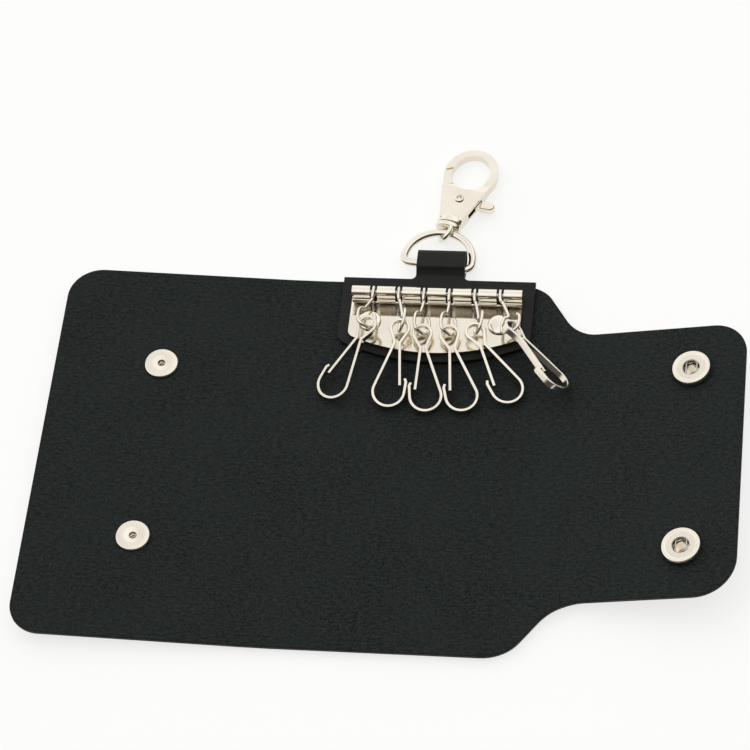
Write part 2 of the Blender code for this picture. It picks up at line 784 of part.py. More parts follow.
def swivel_eye(ring):
    """An oval eye on the D ring whose headed shank turns in the hook's collar."""
    place = Vector((ring_slide, ring_height, 0))
    slope = asin((swivel_height() + rivet_cap_drop - hook_thick / 2) / (bow_line + collar_base()))
    level = ring.matrix_local.to_3x3().inverted()
    heading = Matrix.Rotation(ring_turn + hook_lean, 3, "Z") @ Matrix.Rotation(-slope, 3, "X")
    holder = axis("swivel_eye_axis", ring, place, level @ heading)
    across = Vector((cos(swivel_twist), 0, sin(swivel_twist)))
    centre = eye_crown() - eye_half_height
    path = [across * (eye_half * cos(t)) + Vector((0, centre + eye_half_height * sin(t), 0))
            for t in (2 * pi * i / 20 for i in range(20))]
    part = add("swivel_eye", wire(path, eye_wire, closed=True), NICKEL, holder)
    low = centre + eye_half_height - eye_wire / 2
    seat = collar_base() + swivel_floor + run_gap
    stem = [(0, low), (swivel_shank_radius, low), (swivel_shank_radius, seat),
            (swivel_head_radius, seat), (swivel_head_radius, seat + swivel_head_height),
            (0, seat + swivel_head_height)]
    upright = Matrix.Rotation(-pi / 2, 4, "X")
    cut(part, moved(turned(stem, 12), upright), "UNION")
    edge = swivel_flange_height / 4
    rim = swivel_flange_radius
    low = ring_wire + run_gap
    high = low + swivel_flange_height
    flange = [(0, low), (rim - edge, low), (rim, low + edge), (rim, high - edge),
              (rim - edge, high), (0, high)]
    flat = Matrix.Diagonal((1, 1, collar_flat / collar_radius, 1))
    cut(part, moved(turned(flange), flat @ upright), "UNION")
    return holder


def eye_crown():
    """Distance from the D ring's wire to the wire at the eye's upper end."""
    return 2 * eye_half_height - ring_wire - eye_wire - 1.5 * run_gap


def collar_base():
    """Distance from the D ring's wire to the collar's lower face."""
    return ring_wire + run_gap + swivel_flange_height + seat_gap


def bow_point(half, height, angle):
    return Vector((half * cos(angle), bow_line + height * sin(angle)))


def left_side(share):
    """A point on the straight left side, from the bow down to the cheek's corner."""
    start = bow_point(bow_half, bow_height, gate_side_angle)
    return start.lerp(Vector((-hook_cheek_half, hook_cheek_line)), share)


def hook_section():
    """Side view of the hook: thick cheeks that thin to the bow, along and up."""
    end = bow_line + bow_height + overrun
    half = hook_thick / 2 + overrun / 5
    upper = [Vector((end, bow_thick / 2)), Vector((taper_end, bow_thick / 2)),
             Vector((taper_start, half)), Vector((-overrun, half))]
    return upper + [Vector((p.x, -p.y)) for p in reversed(upper)]


def hook_outline():
    """The hook's body and bow, open on the left where the gate closes it."""
    side = radians(-28)
    nose = nose_angle + nose_slant
    outer = [bow_point(bow_half, bow_height, side + (nose - side) * i / 18) for i in range(19)]
    inner = [bow_point(bow_hole_half, bow_hole_height, t)
             for t in (nose_angle + (shoulder_angle - 2 * pi - nose_angle) * i / 22
                       for i in range(23))]
    shoulder = left_side(shoulder_share)
    base = collar_height / 2
    left = [shoulder, Vector((-hook_cheek_half, hook_cheek_line)), Vector((-hook_neck_half, base))]
    right = [Vector((hook_neck_half, base)), Vector((hook_cheek_half, hook_cheek_line))]
    return left + right + outer + inner


def lever_slot():
    """Plan of the slot between the cheeks, where the trigger and its spring lie."""
    hub = lever_hub + run_gap
    out = bow_half + overrun
    pocket = lever_hub + lever_spring_length + 2.5 * run_gap
    return rounded([
        (-out, pin_line + hub * 1.2, 0),
        (-pocket, pin_line, 0),
        (-pocket, pin_line - hub, hub / 5),
        (0, pin_line - hub * 1.25, hub / 2),
        (out, collar_height + hub / 5, 0),
        (out, pin_line + hub * 0.8, 0),
        (hub / 2, pin_line + hub, hub / 2),
        (-hub, bow_line, 0),
        (-out, bow_line, 0),
    ])


def trigger_hook(eye):
    """The die-cast hook: collar, two cheeks with a slot between them, and the bow."""
    holder = axis("trigger_hook_axis", eye, Vector((0, collar_base(), 0)))
    body = prism(hook_outline(), -hook_thick / 2, hook_thick / 2)
    part = add("trigger_hook", body, NICKEL, holder)
    stand = Matrix(((0, 0, 1, 0), (1, 0, 0, 0), (0, 1, 0, 0), (0, 0, 0, 1)))
    width = bow_half + overrun
    cut(part, moved(prism(hook_section(), -width, width), stand), "INTERSECT")
    soften(part, hook_edge)
    upright = Matrix.Rotation(-pi / 2, 4, "X")
    flat = Matrix.Diagonal((1, 1, collar_flat / collar_radius, 1))
    edge = collar_height / 5
    collar = [(0, 0), (collar_radius - edge, 0), (collar_radius, edge),
              (collar_radius, collar_height - edge), (collar_radius - edge, collar_height),
              (0, collar_height)]
    cut(part, moved(turned(collar), flat @ upright), "UNION")
    cut(part, prism(lever_slot(), -cheek_slot / 2, cheek_slot / 2))
    bore = swivel_shank_radius + run_gap
    room = swivel_head_radius + run_gap
    top = swivel_floor + 2 * run_gap + swivel_head_height
    well = [(0, -overrun), (bore, -overrun), (bore, swivel_floor), (room, swivel_floor),
            (room, top), (0, top)]
    cut(part, moved(turned(well, 16), upright))
    pin_hole = cylinder(pin_radius + seat_gap, -hook_thick, hook_thick, 16)
    cut(part, moved(pin_hole, shift(0, pin_line, 0)))
    return holder


def trigger_pin(hook):
    half = hook_thick / 2 + seat_gap
    top = half + pin_head_height
    profile = [(0, -top), (pin_head_radius * 0.7, -top), (pin_head_radius, -half),
               (pin_radius, -half), (pin_radius, half), (pin_head_radius, half),
               (pin_head_radius * 0.7, top), (0, top)]
    add("trigger_pin", moved(turned(profile, 16), shift(0, pin_line, 0)), STEEL, hook)


def trigger(hook):
    """The rocking trigger: gate, thin web between the cheeks and thumb piece."""
    holder = axis("trigger_axis", hook, Vector((0, pin_line, 0)))
    half = lever_half
    tip = Vector((cos(lever_angle), sin(lever_angle))) * lever_reach
    across = Vector((-sin(lever_angle), cos(lever_angle))) * half
    end = shoulder_angle - radians(6)
    lift = Vector((0, pin_line))
    start = nose_angle + nose_gap + nose_slant
    outer = [bow_point(bow_half, bow_height, turn) - lift
             for turn in (start, (start + gate_side_angle) / 2, gate_side_angle)]
    outer.append(left_side(gate_foot_share) - lift)
    inner = []
    start = nose_angle + nose_gap
    for i in range(7):
        turn = start + (end - start) * i / 6
        inner.insert(0, bow_point(bow_hole_half, bow_hole_height, turn) - lift)
    hub = arc((0, 0), lever_hub, radians(215), radians(325))
    arm_root = Vector((-lever_hub * 0.75, lever_hub * 0.95))
    web = outer[2:] + [Vector((-lever_hub, 0))] + hub
    web += [tip - across, tip + across, Vector((lever_hub * 0.9, lever_hub * 0.5)),
            Vector((0, lever_hub)), arm_root, inner[0], inner[3]]
    thin = prism(web, -lever_thick / 2, lever_thick / 2)
    part = add("trigger", thin, NICKEL, holder)
    gate = prism(outer + inner, -gate_thick / 2, gate_thick / 2)
    cut(part, gate, "UNION")
    back = tip - unit(tip) * thumb_length
    turn_end = arc(tip, half, lever_angle - pi / 2, lever_angle + pi / 2)
    thumb = [back - across] + turn_end + [back + across]
    cut(part, prism(thumb, -thumb_thick / 2, thumb_thick / 2), "UNION")
    cut(part, cylinder(pin_radius + seat_gap, -lever_thick, lever_thick, 16))
    soften(part, lever_thick / 5, 1)
    return holder


def trigger_spring(hook):
    """A small coil between the body and the trigger's hub."""
    length = lever_spring_length
    left = -lever_hub - length - run_gap
    steps = lever_spring_turns * 8
    middle = pin_line - lever_hub * 0.55
    radius = lever_spring_radius
    path = [Vector((left + length * i / steps, middle + radius * cos(2 * pi * i / 8),
                    radius * sin(2 * pi * i / 8))) for i in range(steps + 1)]
    add("trigger_spring", wire(path, lever_spring_wire, 5), STEEL, hook)


def snap_post():
    """Flanged post whose hollow shank passes through the leather."""
    low = seat_gap
    high = low + post_flange_height
    edge = post_flange_height / 3
    foot = -leather
    return [(post_bore_radius, foot), (post_tube_radius, foot), (post_tube_radius, low),
            (post_flange_radius - edge, low), (post_flange_radius, low + edge),
            (post_flange_radius - edge, high), (post_dish_radius, high),
            (post_bore_radius, high - post_dish_depth)]


def snap_stud():
    """The stud on the outer face: a base ring, a neck and a rounded head, hollow inside."""
    top = -leather - seat_gap
    base = top - stud_base_height
    tip = base - stud_height
    head = stud_head_radius
    bore = stud_neck_radius - stud_wall
    roof = tip + stud_wall
    neck = base - stud_neck_length
    swell = (neck - tip) / 2
    return [(bore, top), (bore, roof), (0, roof), (0, tip), (head * 0.6, tip),
            (head, tip + swell), (head, tip + swell * 1.3), (stud_neck_radius, neck),
            (stud_neck_radius, base), (stud_base_radius, base),
            (stud_base_radius, top - stud_base_height / 3),
            (stud_base_radius - stud_base_height / 3, top)]


def snap_socket():
    """The socket on the flap's inner face: rolled rim, mouth and a cell for the spring."""
    low = seat_gap
    high = low + socket_height
    rim = high - socket_lip * 0.5
    cell = low + socket_lip
    roof = cell + socket_cell_height
    return [(socket_mouth_radius, low), (socket_radius - socket_lip, low),
            (socket_radius, low + socket_lip), (socket_radius, rim - socket_lip),
            (socket_radius - socket_lip, high), (socket_rim_radius, high),
            (socket_rim_radius - socket_lip, rim), (socket_mouth_radius, rim - socket_lip * 0.2),
            (socket_mouth_radius, roof), (socket_cell_radius, roof),
            (socket_cell_radius, cell), (socket_mouth_radius, cell)]


def socket_spring():
    """The bent wire that grips the stud: two legs joined round one end."""
    level = seat_gap + socket_lip + socket_cell_height / 2
    side = spring_side
    bend = arc((0, spring_reach - side), side, 0, pi, radians(30))
    flat = [Vector((side, -spring_reach * 0.9))] + bend + [Vector((-side, -spring_reach * 0.9))]
    return [Vector((p.x, p.y, level)) for p in flat]


def snap_cap():
    """The domed cap on the outer face, with a tube up into the leather."""
    top = -leather - seat_gap
    low = top - cap_height
    tube = cap_tube_radius
    return [(0, low), (cap_radius * 0.62, low + cap_height * 0.08),
            (cap_radius - cap_edge, low + cap_height * 0.35), (cap_radius, top - cap_edge),
            (cap_radius - cap_edge, top), (tube, top), (tube, -seat_gap),
            (tube - cap_tube_wall, -seat_gap), (tube - cap_tube_wall, top - cap_edge),
            (0, top - cap_edge)]


def snaps(left_holder, left_at, left_panel, right_holder, right_at, right_flap):
    """Posts and studs on the left panel, sockets and caps on the flap."""
    left = left_fold - snap_reach
    right = right_fold + flap_snap_reach
    for side, name in ((1, "upper"), (-1, "lower")):
        up = side * snap_spacing / 2
        place = shift(left - left_at[0], up, -left_at[1])
        add(f"snap_post_{name}", moved(turned(snap_post()), place), NICKEL, left_holder)
        add(f"snap_stud_{name}", moved(turned(snap_stud()), place), NICKEL, left_holder)
        hole = cylinder(post_tube_radius + seat_gap, -leather - overrun, overrun)
        cut(left_panel, moved(hole, place))
        place = shift(right - right_at[0], up, -right_at[1])
        add(f"snap_socket_{name}", moved(turned(snap_socket()), place), NICKEL, right_holder)
        spring = moved(wire(socket_spring(), spring_wire_radius, 6), place)
        add(f"socket_spring_{name}", spring, STEEL, right_holder)
        add(f"snap_cap_{name}", moved(turned(snap_cap()), place), NICKEL, right_holder)
        hole = cylinder(cap_tube_radius + seat_gap, -leather - overrun, overrun)
        cut(right_flap, moved(hole, place))


def fold_axes(root):
    """Two folds on each side, each one a strip of leather between two hinge lines."""
    right = -1
    left = 1
    share = flap_rest_tilt / 2
    lie = left_rest_tilt / 2
    start = (right_fold - right_spine / 2, fold_rise)
    axis_a = axis("right_fold_inner_axis", root, (start[0], 0, start[1]),
                  Matrix.Rotation(right * share, 3, "Y"))
    axis_b = axis("right_fold_outer_axis", axis_a, (right_spine, 0, 0),
                  Matrix.Rotation(right * share, 3, "Y"))
    mirror = (left_fold + left_spine / 2, fold_rise)
    axis_c = axis("left_fold_inner_axis", root, (mirror[0], 0, mirror[1]),
                  Matrix.Rotation(left * lie, 3, "Y"))
    axis_d = axis("left_fold_outer_axis", axis_c, (-left_spine, 0, 0),
                  Matrix.Rotation(left * lie, 3, "Y"))
    return axis_a, axis_b, axis_c, axis_d


def leather_case(root):
    """Five strips of one hide, parted at the fold lines."""
    right_inner, right_outer, left_inner, left_outer = fold_axes(root)
    a = right_fold - right_spine / 2
    b = right_fold + right_spine / 2
    c = left_fold + left_spine / 2
    d = left_fold - left_spine / 2
    centre = panel("centre_panel", root, (0, 0), c, a)
    for side in (-1, 1):
        hole = cylinder(rivet_shank_radius + seat_gap, -leather - overrun, overrun)
        cut(centre, moved(hole, rivet_place(side)))
    panel("right_spine", right_inner, (a, fold_rise), a, b)
    flap = panel("right_flap", right_outer, (b, fold_rise), b, None)
    panel("left_spine", left_inner, (c, fold_rise), d, c)
    left = panel("left_panel", left_outer, (d, fold_rise), None, d)
    snaps(left_outer, (d, fold_rise), left, right_outer, (b, fold_rise), flap)


def stand_on_table(root):
    """Move the part so that its box stands on the origin."""
    bpy.context.view_layer.update()
    graph = bpy.context.evaluated_depsgraph_get()
    points = []
    for part in bpy.data.objects:
        if part.type == "MESH" and not part.hide_render:
            mesh = part.evaluated_get(graph).data
            points += [part.matrix_world @ v.co for v in mesh.vertices]
    low = [min(p[i] for p in points) for i in range(3)]
    high = [max(p[i] for p in points) for i in range(3)]
    root.location = (-(low[0] + high[0]) / 2, -(low[1] + high[1]) / 2, -low[2])
    bpy.context.view_layer.update()


def build():
    root = axis("case_origin", None, (0, 0, 0))
    leather_case(root)
    strap_patch(root)
    hook_plate(root)
    hook_rod(root)
    plate_rivets(root)
    for number in range(hooks):
        holder = hanger(number, root)
        key_clip(number, root, holder)
    ring = d_ring(root)
    eye = swivel_eye(ring)
    hook = trigger_hook(eye)
    trigger_pin(hook)
    trigger_spring(hook)
    trigger(hook)
    mark_creases()
    stand_on_table(root)


for old in list(bpy.data.objects):
    bpy.data.objects.remove(old)
build()
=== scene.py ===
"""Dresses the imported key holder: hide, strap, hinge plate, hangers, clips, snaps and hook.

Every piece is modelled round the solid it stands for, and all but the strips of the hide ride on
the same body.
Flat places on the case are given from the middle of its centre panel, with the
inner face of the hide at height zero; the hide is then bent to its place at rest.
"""
from math import acos, asin, atan2, copysign, cos, hypot, pi, radians, sin, tan

import bmesh
import bpy
from bpy.props import FloatProperty, FloatVectorProperty, PointerProperty
from mathutils import Matrix, Vector


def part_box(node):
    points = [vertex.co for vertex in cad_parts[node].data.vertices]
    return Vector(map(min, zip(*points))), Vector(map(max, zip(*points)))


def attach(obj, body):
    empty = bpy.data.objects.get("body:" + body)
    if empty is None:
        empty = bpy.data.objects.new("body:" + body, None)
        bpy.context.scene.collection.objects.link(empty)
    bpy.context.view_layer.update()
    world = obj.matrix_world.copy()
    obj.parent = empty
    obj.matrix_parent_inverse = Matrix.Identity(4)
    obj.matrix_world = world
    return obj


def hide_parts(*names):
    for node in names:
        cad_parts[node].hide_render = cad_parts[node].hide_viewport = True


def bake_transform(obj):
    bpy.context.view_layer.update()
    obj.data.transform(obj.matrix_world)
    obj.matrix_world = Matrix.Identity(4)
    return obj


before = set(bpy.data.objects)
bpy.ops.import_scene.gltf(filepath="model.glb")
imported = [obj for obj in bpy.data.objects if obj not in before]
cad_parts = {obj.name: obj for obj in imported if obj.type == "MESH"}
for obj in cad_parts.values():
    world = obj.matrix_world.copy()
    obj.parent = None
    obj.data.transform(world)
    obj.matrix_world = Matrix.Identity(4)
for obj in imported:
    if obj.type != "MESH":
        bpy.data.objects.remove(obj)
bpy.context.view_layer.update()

bl_info = {
    "name": "Leather Key Holder",
    "version": (1, 0, 0),
    "blender": (4, 5, 0),
    "location": "View3D > Sidebar > Key Holder",
    "description": "Models and finishes the pieces of an open leather key holder",
    "category": "Object",
}

MM = 0.001
GAP = 0.25 * MM             # between pieces that are seated in each other
RUN = 0.3 * MM              # round pieces that move
OVER = 1.0 * MM             # how far a cutter reaches past what it cuts
LEAST_MITRE = 0.6           # keeps a ribbon's corner from growing long where it bends hard
SAME_POINT = MM / 400       # points of an outline closer than this are one point
HAIR = MM / 1000            # tolerance of the cuts that divide the hide
FINE_TURN = radians(6)      # step along an arc
PRESSED_EDGE = 0.12 * MM    # rounding of pressed pieces
TURNED_EDGE = 0.08 * MM     # rounding of turned pieces
STAND = Matrix(((0, 0, 1, 0), (1, 0, 0, 0), (0, 1, 0, 0), (0, 0, 0, 1)))
UPRIGHT = Matrix.Rotation(-pi / 2, 4, "X")      # a turned shape's axis laid along Y

centre_low, centre_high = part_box("centre_panel")


def length_of(label, size):
    """A length that a user can change, given in millimetres."""
    return FloatProperty(name=label, default=size * MM, unit="LENGTH")


def angle_of(label, degrees):
    """An angle that a user can change, given in degrees."""
    return FloatProperty(name=label, default=radians(degrees), unit="ROTATION")


def colour_of(label, colour):
    """A colour that a user can change."""
    return FloatVectorProperty(name=label, default=colour, subtype="COLOR", size=3, min=0, max=1)


class KeyCaseSizes(bpy.types.PropertyGroup):
    """Sizes of the leather case."""

    thickness: length_of("Thickness of the hide", 1.4)
    edge: length_of("Rounding of the cut edges", 0.3)
    height: length_of("Lower to upper edge of the case", (centre_high.y - centre_low.y) / MM)
    centre_width: length_of("Fold to fold", 76.9)
    left_width: length_of("Left fold to the outer edge", 69.7)
    flap_width: length_of("Right fold to the outer edge", 53.6)
    flap_height: length_of("Lower to upper edge of the flap", 88.0)
    left_spine: length_of("Strip between the two left fold lines", 9.0)
    right_spine: length_of("Strip between the two right fold lines", 13.7)
    fold_rise: length_of("Height of the fold axes above the inner face", 0.5)
    flap_tilt: angle_of("Slope of the flap as the case lies open", 10.8)
    bend: length_of("Half the width over which the hide bends at each fold line", 3.6)
    snap_reach: length_of("Left fold to its snaps", 38.45)
    snap_spacing: length_of("Upper to lower snap", 57.9)


class KeyPlateSizes(bpy.types.PropertyGroup):
    """Sizes of the strap patch, the hinge plate and its hangers."""

    patch: length_of("Thickness of the strap leather", 1.2)
    patch_width: length_of("Width of the patch under the plate", 56.4)
    tab_width: length_of("Width of the strap that holds the ring", 14.2)
    tab_length: length_of("Patch to the end of the strap's loop", 10.3)
    sheet: length_of("Thickness of the plate", 0.8)
    knuckle: length_of("Width of each rolled knuckle", 5.3)
    slot: length_of("Gap between two knuckles", 2.1)
    roll: length_of("Outer radius of the rolled edge", 1.8)
    rod: length_of("Radius of the rod inside the roll", 0.6)
    rivet: length_of("Radius of the rivet heads", 3.3)
    hanger_wire: length_of("Radius of the hangers' wire", 0.475)
    hanger_reach: length_of("Roll axis to the end of a hanger's loop", 15.2)
    clip_ribbon: length_of("Thickness of the key clips' flat wire", 0.85)
    clip_width: length_of("Width of the key clips' flat wire", 1.9)
    clip_bow: length_of("Radius of the wide end of a key clip", 4.5)


class KeyHookSizes(bpy.types.PropertyGroup):
    """Sizes of the ring, the swivel and the trigger hook."""

    ring_wire: length_of("Radius of the D ring's wire", 1.15)
    ring_half: length_of("Half the width of the D ring", 10.2)
    ring_height: length_of("Bar to crown of the D ring", 12.2)
    eye_wire: length_of("Radius of the swivel eye's wire", 0.75)
    hook_thick: length_of("Thickness of the cast hook", 3.8)
    hook_edge: length_of("Rounding of the cast hook's edges", 0.95)
    bow_thick: length_of("Thickness of the hook's bow", 2.4)
    bow_half: length_of("Half the width of the hook's bow", 8.05)
    bow_height: length_of("Half the height of the hook's bow", 9.1)
    lever_half: length_of("Half the width of the thumb piece", 1.5)


class KeyHolderFinishes(bpy.types.PropertyGroup):
    """Colours of the leather and the metal."""

    nap: colour_of("Napped inner face of the hide", (0.0150, 0.0184, 0.0175))
    grain: colour_of("Smooth outer face of the hide", (0.016, 0.016, 0.017))
    cut_edge: colour_of("Raw edge of the hide", (0.060, 0.047, 0.036))
    strap: colour_of("Strap and patch leather", (0.0108, 0.0112, 0.0101))
    nickel: colour_of("Bright nickel plate", (0.83, 0.775, 0.67))
    steel: colour_of("Drawn steel wire", (0.60, 0.58, 0.55))
    floor: colour_of("Pale table top", (0.90, 0.90, 0.885))


# Shapes drawn in the plane

def unit(point):
    return point.normalized()


def arc(centre, radius, start, end, step=FINE_TURN, squash=1.0):
    """Points of a round or oval arc in the plane, ends included."""
    count = max(2, int(abs(end - start) / step + 0.5))
    turns = [start + (end - start) * i / count for i in range(count + 1)]
    return [Vector((centre[0] + radius * cos(t), centre[1] + radius * squash * sin(t)))
            for t in turns]


def rounded(corners, step=FINE_TURN):
    """Closed outline through corners given as (x, y, radius), each one filleted."""
    outline = []
    for i, (x, y, radius) in enumerate(corners):
        here = Vector((x, y))
        before = Vector(corners[i - 1][:2]) - here
        after = Vector(corners[(i + 1) % len(corners)][:2]) - here
        if radius <= 0:
            outline.append(here)
            continue
        angle = before.angle(after)
        reach = min(radius / tan(angle / 2), before.length / 2, after.length / 2)
        radius = reach * tan(angle / 2)
        centre = here + unit(unit(before) + unit(after)) * (radius / sin(angle / 2))
        first = here + unit(before) * reach - centre
        last = here + unit(after) * reach - centre
        start = atan2(first.y, first.x)
        sweep = (atan2(last.y, last.x) - start + pi) % (2 * pi) - pi
        outline += arc(centre, radius, start, start + sweep, step)
    return outline


def without_repeats(outline):
    """The closed outline with only one point of each run of points at the same place."""
    kept = []
    for point in outline:
        if not kept or (point - kept[-1]).length > SAME_POINT:
            kept.append(point)
    if (kept[0] - kept[-1]).length < SAME_POINT:
        kept.pop()
    return kept


def mirrored(points):
    """The points mirrored from right to left, or back."""
    return [Vector((-p.x, p.y)) for p in points]


def smoothed(points, steps):
    """A soft curve through the points, with that many steps from each to the next."""
    count = len(points)
    line = []
    for i in range(count - 1):
        a, b, c, d = (points[min(max(i + k, 0), count - 1)] for k in (-1, 0, 1, 2))
        for k in range(steps):
            t = k / steps
            line.append(b + ((c - a) * t + (a * 2 - b * 5 + c * 4 - d) * t ** 2
                             + (b * 3 - a - c * 3 + d) * t ** 3) / 2)
    return line + [points[-1].copy()]


def courses(path):
    """Each point of an open path, with the path's direction before and after it."""
    legs = [unit(after - here) for here, after in zip(path, path[1:])]
    return zip(path, legs[:1] + legs, legs + legs[-1:])


# Solids

def prism(outline, low, high):
    """A flat outline extruded along Z."""
    bm = bmesh.new()
    face = bm.faces.new([bm.verts.new((p.x, p.y, low)) for p in without_repeats(outline)])
    raised = bmesh.ops.extrude_face_region(bm, geom=[face])["geom"]
    bmesh.ops.translate(bm, verts=[v for v in raised if isinstance(v, bmesh.types.BMVert)],
                        vec=(0, 0, high - low))
    bmesh.ops.recalc_face_normals(bm, faces=bm.faces)
    return bm


def slab(outline, thickness):
    """A flat outline made as thick as that, half of it to each side of the plane."""
    return prism(outline, -thickness / 2, thickness / 2)


def cylinder(radius, low, high, sides=40):
    return prism(arc((0, 0), radius, 0, 2 * pi, 2 * pi / sides), low, high)


def flat_box(width, side):
    """A box with two equal longer sides, its centre at the origin."""
    corners = ((-1, -1), (1, -1), (1, 1), (-1, 1))
    return slab([Vector((x * width / 2, y * side / 2)) for x, y in corners], side)


def turned(profile, sides=48):
    """A closed profile of (radius, height) points turned about Z."""
    bm = bmesh.new()
    rings = []
    for radius, height in profile:
        if radius <= 0:
            rings.append([bm.verts.new((0, 0, height))])
            continue
        rings.append([bm.verts.new((radius * cos(2 * pi * i / sides),
                                    radius * sin(2 * pi * i / sides), height))
                      for i in range(sides)])
    for first, second in zip(rings, rings[1:] + rings[:1]):
        if len(first) == 1 and len(second) == 1:
            continue
        for i in range(sides):
            j = (i + 1) % sides
            corners = [first[i % len(first)], first[j % len(first)],
                       second[j % len(second)], second[i % len(second)]]
            bm.faces.new(list(dict.fromkeys(corners)))
    bmesh.ops.recalc_face_normals(bm, faces=bm.faces)
    return bm


def soft_profile(points, radius, steps=3):
    """A (radius, height) profile whose corners away from the axis are rounded."""
    corners = [(x, y, radius if x > 0 else 0) for x, y in points]
    line = rounded(corners, pi / 2 / steps)
    return [(max(p.x, 0), p.y) for p in without_repeats(line)]


def joined_rings(bm, rings, closed):
    """Skins a row of rings of points; a closed row's last ring is turned to meet its first."""
    sides = len(rings[0])
    pairs = list(zip(rings, rings[1:]))
    if closed:
        pairs.append((rings[-1], rings[0]))
    for number, (first, second) in enumerate(pairs):
        turn = 0
        if closed and number == len(pairs) - 1:
            gaps = [(second[k].co - first[0].co).length for k in range(sides)]
            turn = gaps.index(min(gaps))
        for k in range(sides):
            m = (k + 1) % sides
            bm.faces.new((first[k], first[m], second[(m + turn) % sides],
                          second[(k + turn) % sides]))
    if not closed:
        bm.faces.new(rings[0])
        bm.faces.new(rings[-1])
    bmesh.ops.recalc_face_normals(bm, faces=bm.faces)
    return bm


def wire(path, radius, sides=16, closed=False):
    """A round wire along a path of points, its open ends domed."""
    bm = bmesh.new()
    count = len(path)
    side = None
    rings = []
    ends = ((0.0, 0.72), (0.45, 0.93))      # (way in, share) of the radius at an open end
    for i, here in enumerate(path):
        if closed:
            along = unit(path[(i + 1) % count] - path[i - 1])
        else:
            along = unit(path[min(i + 1, count - 1)] - path[max(i - 1, 0)])
        if side is None:
            side = unit(along.orthogonal())
        side = unit(side - along * side.dot(along))
        other = along.cross(side)
        stations = [(here, 1.0)]
        if not closed and i == 0:
            stations = [(here + along * radius * off, share) for off, share in ends]
        elif not closed and i == count - 1:
            stations = [(here - along * radius * off, share) for off, share in reversed(ends)]
        for place, share in stations:
            rings.append([bm.verts.new(place + radius * share * (side * cos(t) + other * sin(t)))
                          for t in (2 * pi * k / sides for k in range(sides))])
    return joined_rings(bm, rings, closed)


def ribbon(path, thickness, width, edge):
    """A flat wire with softened edges, bent in the plane, its width along Z."""
    section = rounded([(-thickness / 2, -width / 2, edge), (thickness / 2, -width / 2, edge),
                       (thickness / 2, width / 2, edge), (-thickness / 2, width / 2, edge)],
                      radians(30))
    bm = bmesh.new()
    rings = []
    for here, before, after in courses(path):
        along = unit(before + after)
        across = Vector((-along.y, along.x)) / max(along.dot(before), LEAST_MITRE)
        rings.append([bm.verts.new((here.x + across.x * p.x, here.y + across.y * p.x, p.y))
                      for p in section])
    return joined_rings(bm, rings, False)


def section(base, points):
    """A (radius, height) profile given in millimetres, with its heights from a base."""
    return [(radius * MM, base + height * MM) for radius, height in points]


def shift(x, y, z):
    return Matrix.Translation((x, y, z))


def placed(bm, matrix):
    """The shape moved by a matrix."""
    bmesh.ops.transform(bm, matrix=matrix, verts=bm.verts)
    return bm


# From solids to finished pieces

def block(name, bm):
    """A working object in the scene, before its cuts."""
    mesh = bpy.data.meshes.new(name)
    bm.to_mesh(mesh)
    bm.free()
    work = bpy.data.objects.new(name, mesh)
    bpy.context.collection.objects.link(work)
    return work


def soften(work, width, segments, limit):
    """Rounds the edges that are sharper than the limit, in degrees."""
    bevel = work.modifiers.new("Edges", "BEVEL")
    bevel.width = width
    bevel.segments = segments
    bevel.limit_method = "ANGLE"
    bevel.angle_limit = radians(limit)
    bevel.use_clamp_overlap = True


def cut(work, tool, operation="DIFFERENCE"):
    """Cuts a working object by a shape or by another working object, or joins the two."""
    if isinstance(tool, bmesh.types.BMesh):
        tool = block(f"{work.name}.tool", tool)
    modifier = work.modifiers.new("Cut", "BOOLEAN")
    modifier.operation = operation
    modifier.object = tool
    modifier.solver = "EXACT"


def applied(work):
    """The mesh with its modifiers applied and its cutters gone."""
    tools = [m.object for m in work.modifiers if m.type == "BOOLEAN"]
    bpy.context.view_layer.update()
    graph = bpy.context.evaluated_depsgraph_get()
    mesh = bpy.data.meshes.new_from_object(work.evaluated_get(graph))
    work.modifiers.clear()
    old = work.data
    work.data = mesh
    bpy.data.meshes.remove(old)
    for tool in tools:
        data = tool.data
        bpy.data.objects.remove(tool)
        bpy.data.meshes.remove(data)
    return work


def shaded(work, angle=35):
    """Smooth shading that keeps flat faces flat beside their rounded edges."""
    work.data.shade_smooth()
    work.data.set_sharp_from_angle(angle=radians(angle))
    weigh = work.modifiers.new("Weighted", "WEIGHTED_NORMAL")
    weigh.keep_sharp = True
    return applied(work)


def finished(work, matrix, look, body, *nodes):
    """Puts a piece in its place, gives it its finish and lets it ride on a body."""
    finish, slot = look
    work.data.transform(matrix)
    work.data.materials.clear()
    work.data.materials.append(finish_named(finish))
    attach(work, body)
    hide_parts(*nodes)
    return work


def piece(name, bm, matrix, look, body, *nodes, angle=35):
    """A finished piece from a shape that needs no cuts."""
    return finished(shaded(block(name, bm), angle), matrix, look, body, *nodes)


# Finishes

class Nodes:
    """A node tree that is built up a step at a time."""

    def __init__(self, tree):
        self.tree = tree

    def node(self, kind, **settings):
        node = self.tree.nodes.new(kind)
        for key, value in settings.items():
            setattr(node, key, value)
        return node

    def link(self, source, target):
        self.tree.links.new(source, target)

    def feed(self, value, socket):
        """Gives a socket a number, a colour or another node's output."""
        if isinstance(value, (int, float)):
            socket.default_value = value
        elif isinstance(value, tuple):
            socket.default_value = (*value, 1)
        else:
            self.link(value, socket)

    def math(self, operation, first, second):
        math = self.node("ShaderNodeMath", operation=operation)
        self.feed(first, math.inputs[0])
        self.feed(second, math.inputs[1])
        return math.outputs[0]

    def times(self, first, second):
        return self.math("MULTIPLY", first, second)

    def plus(self, first, second):
        return self.math("ADD", first, second)

    def blend(self, share, first, second):
        """Two colours mixed by a share, each of them a value or an output."""
        mix = self.node("ShaderNodeMix", data_type="RGBA")
        self.feed(share, mix.inputs["Factor"])
        self.feed(first, mix.inputs[6])
        self.feed(second, mix.inputs[7])
        return mix.outputs[2]


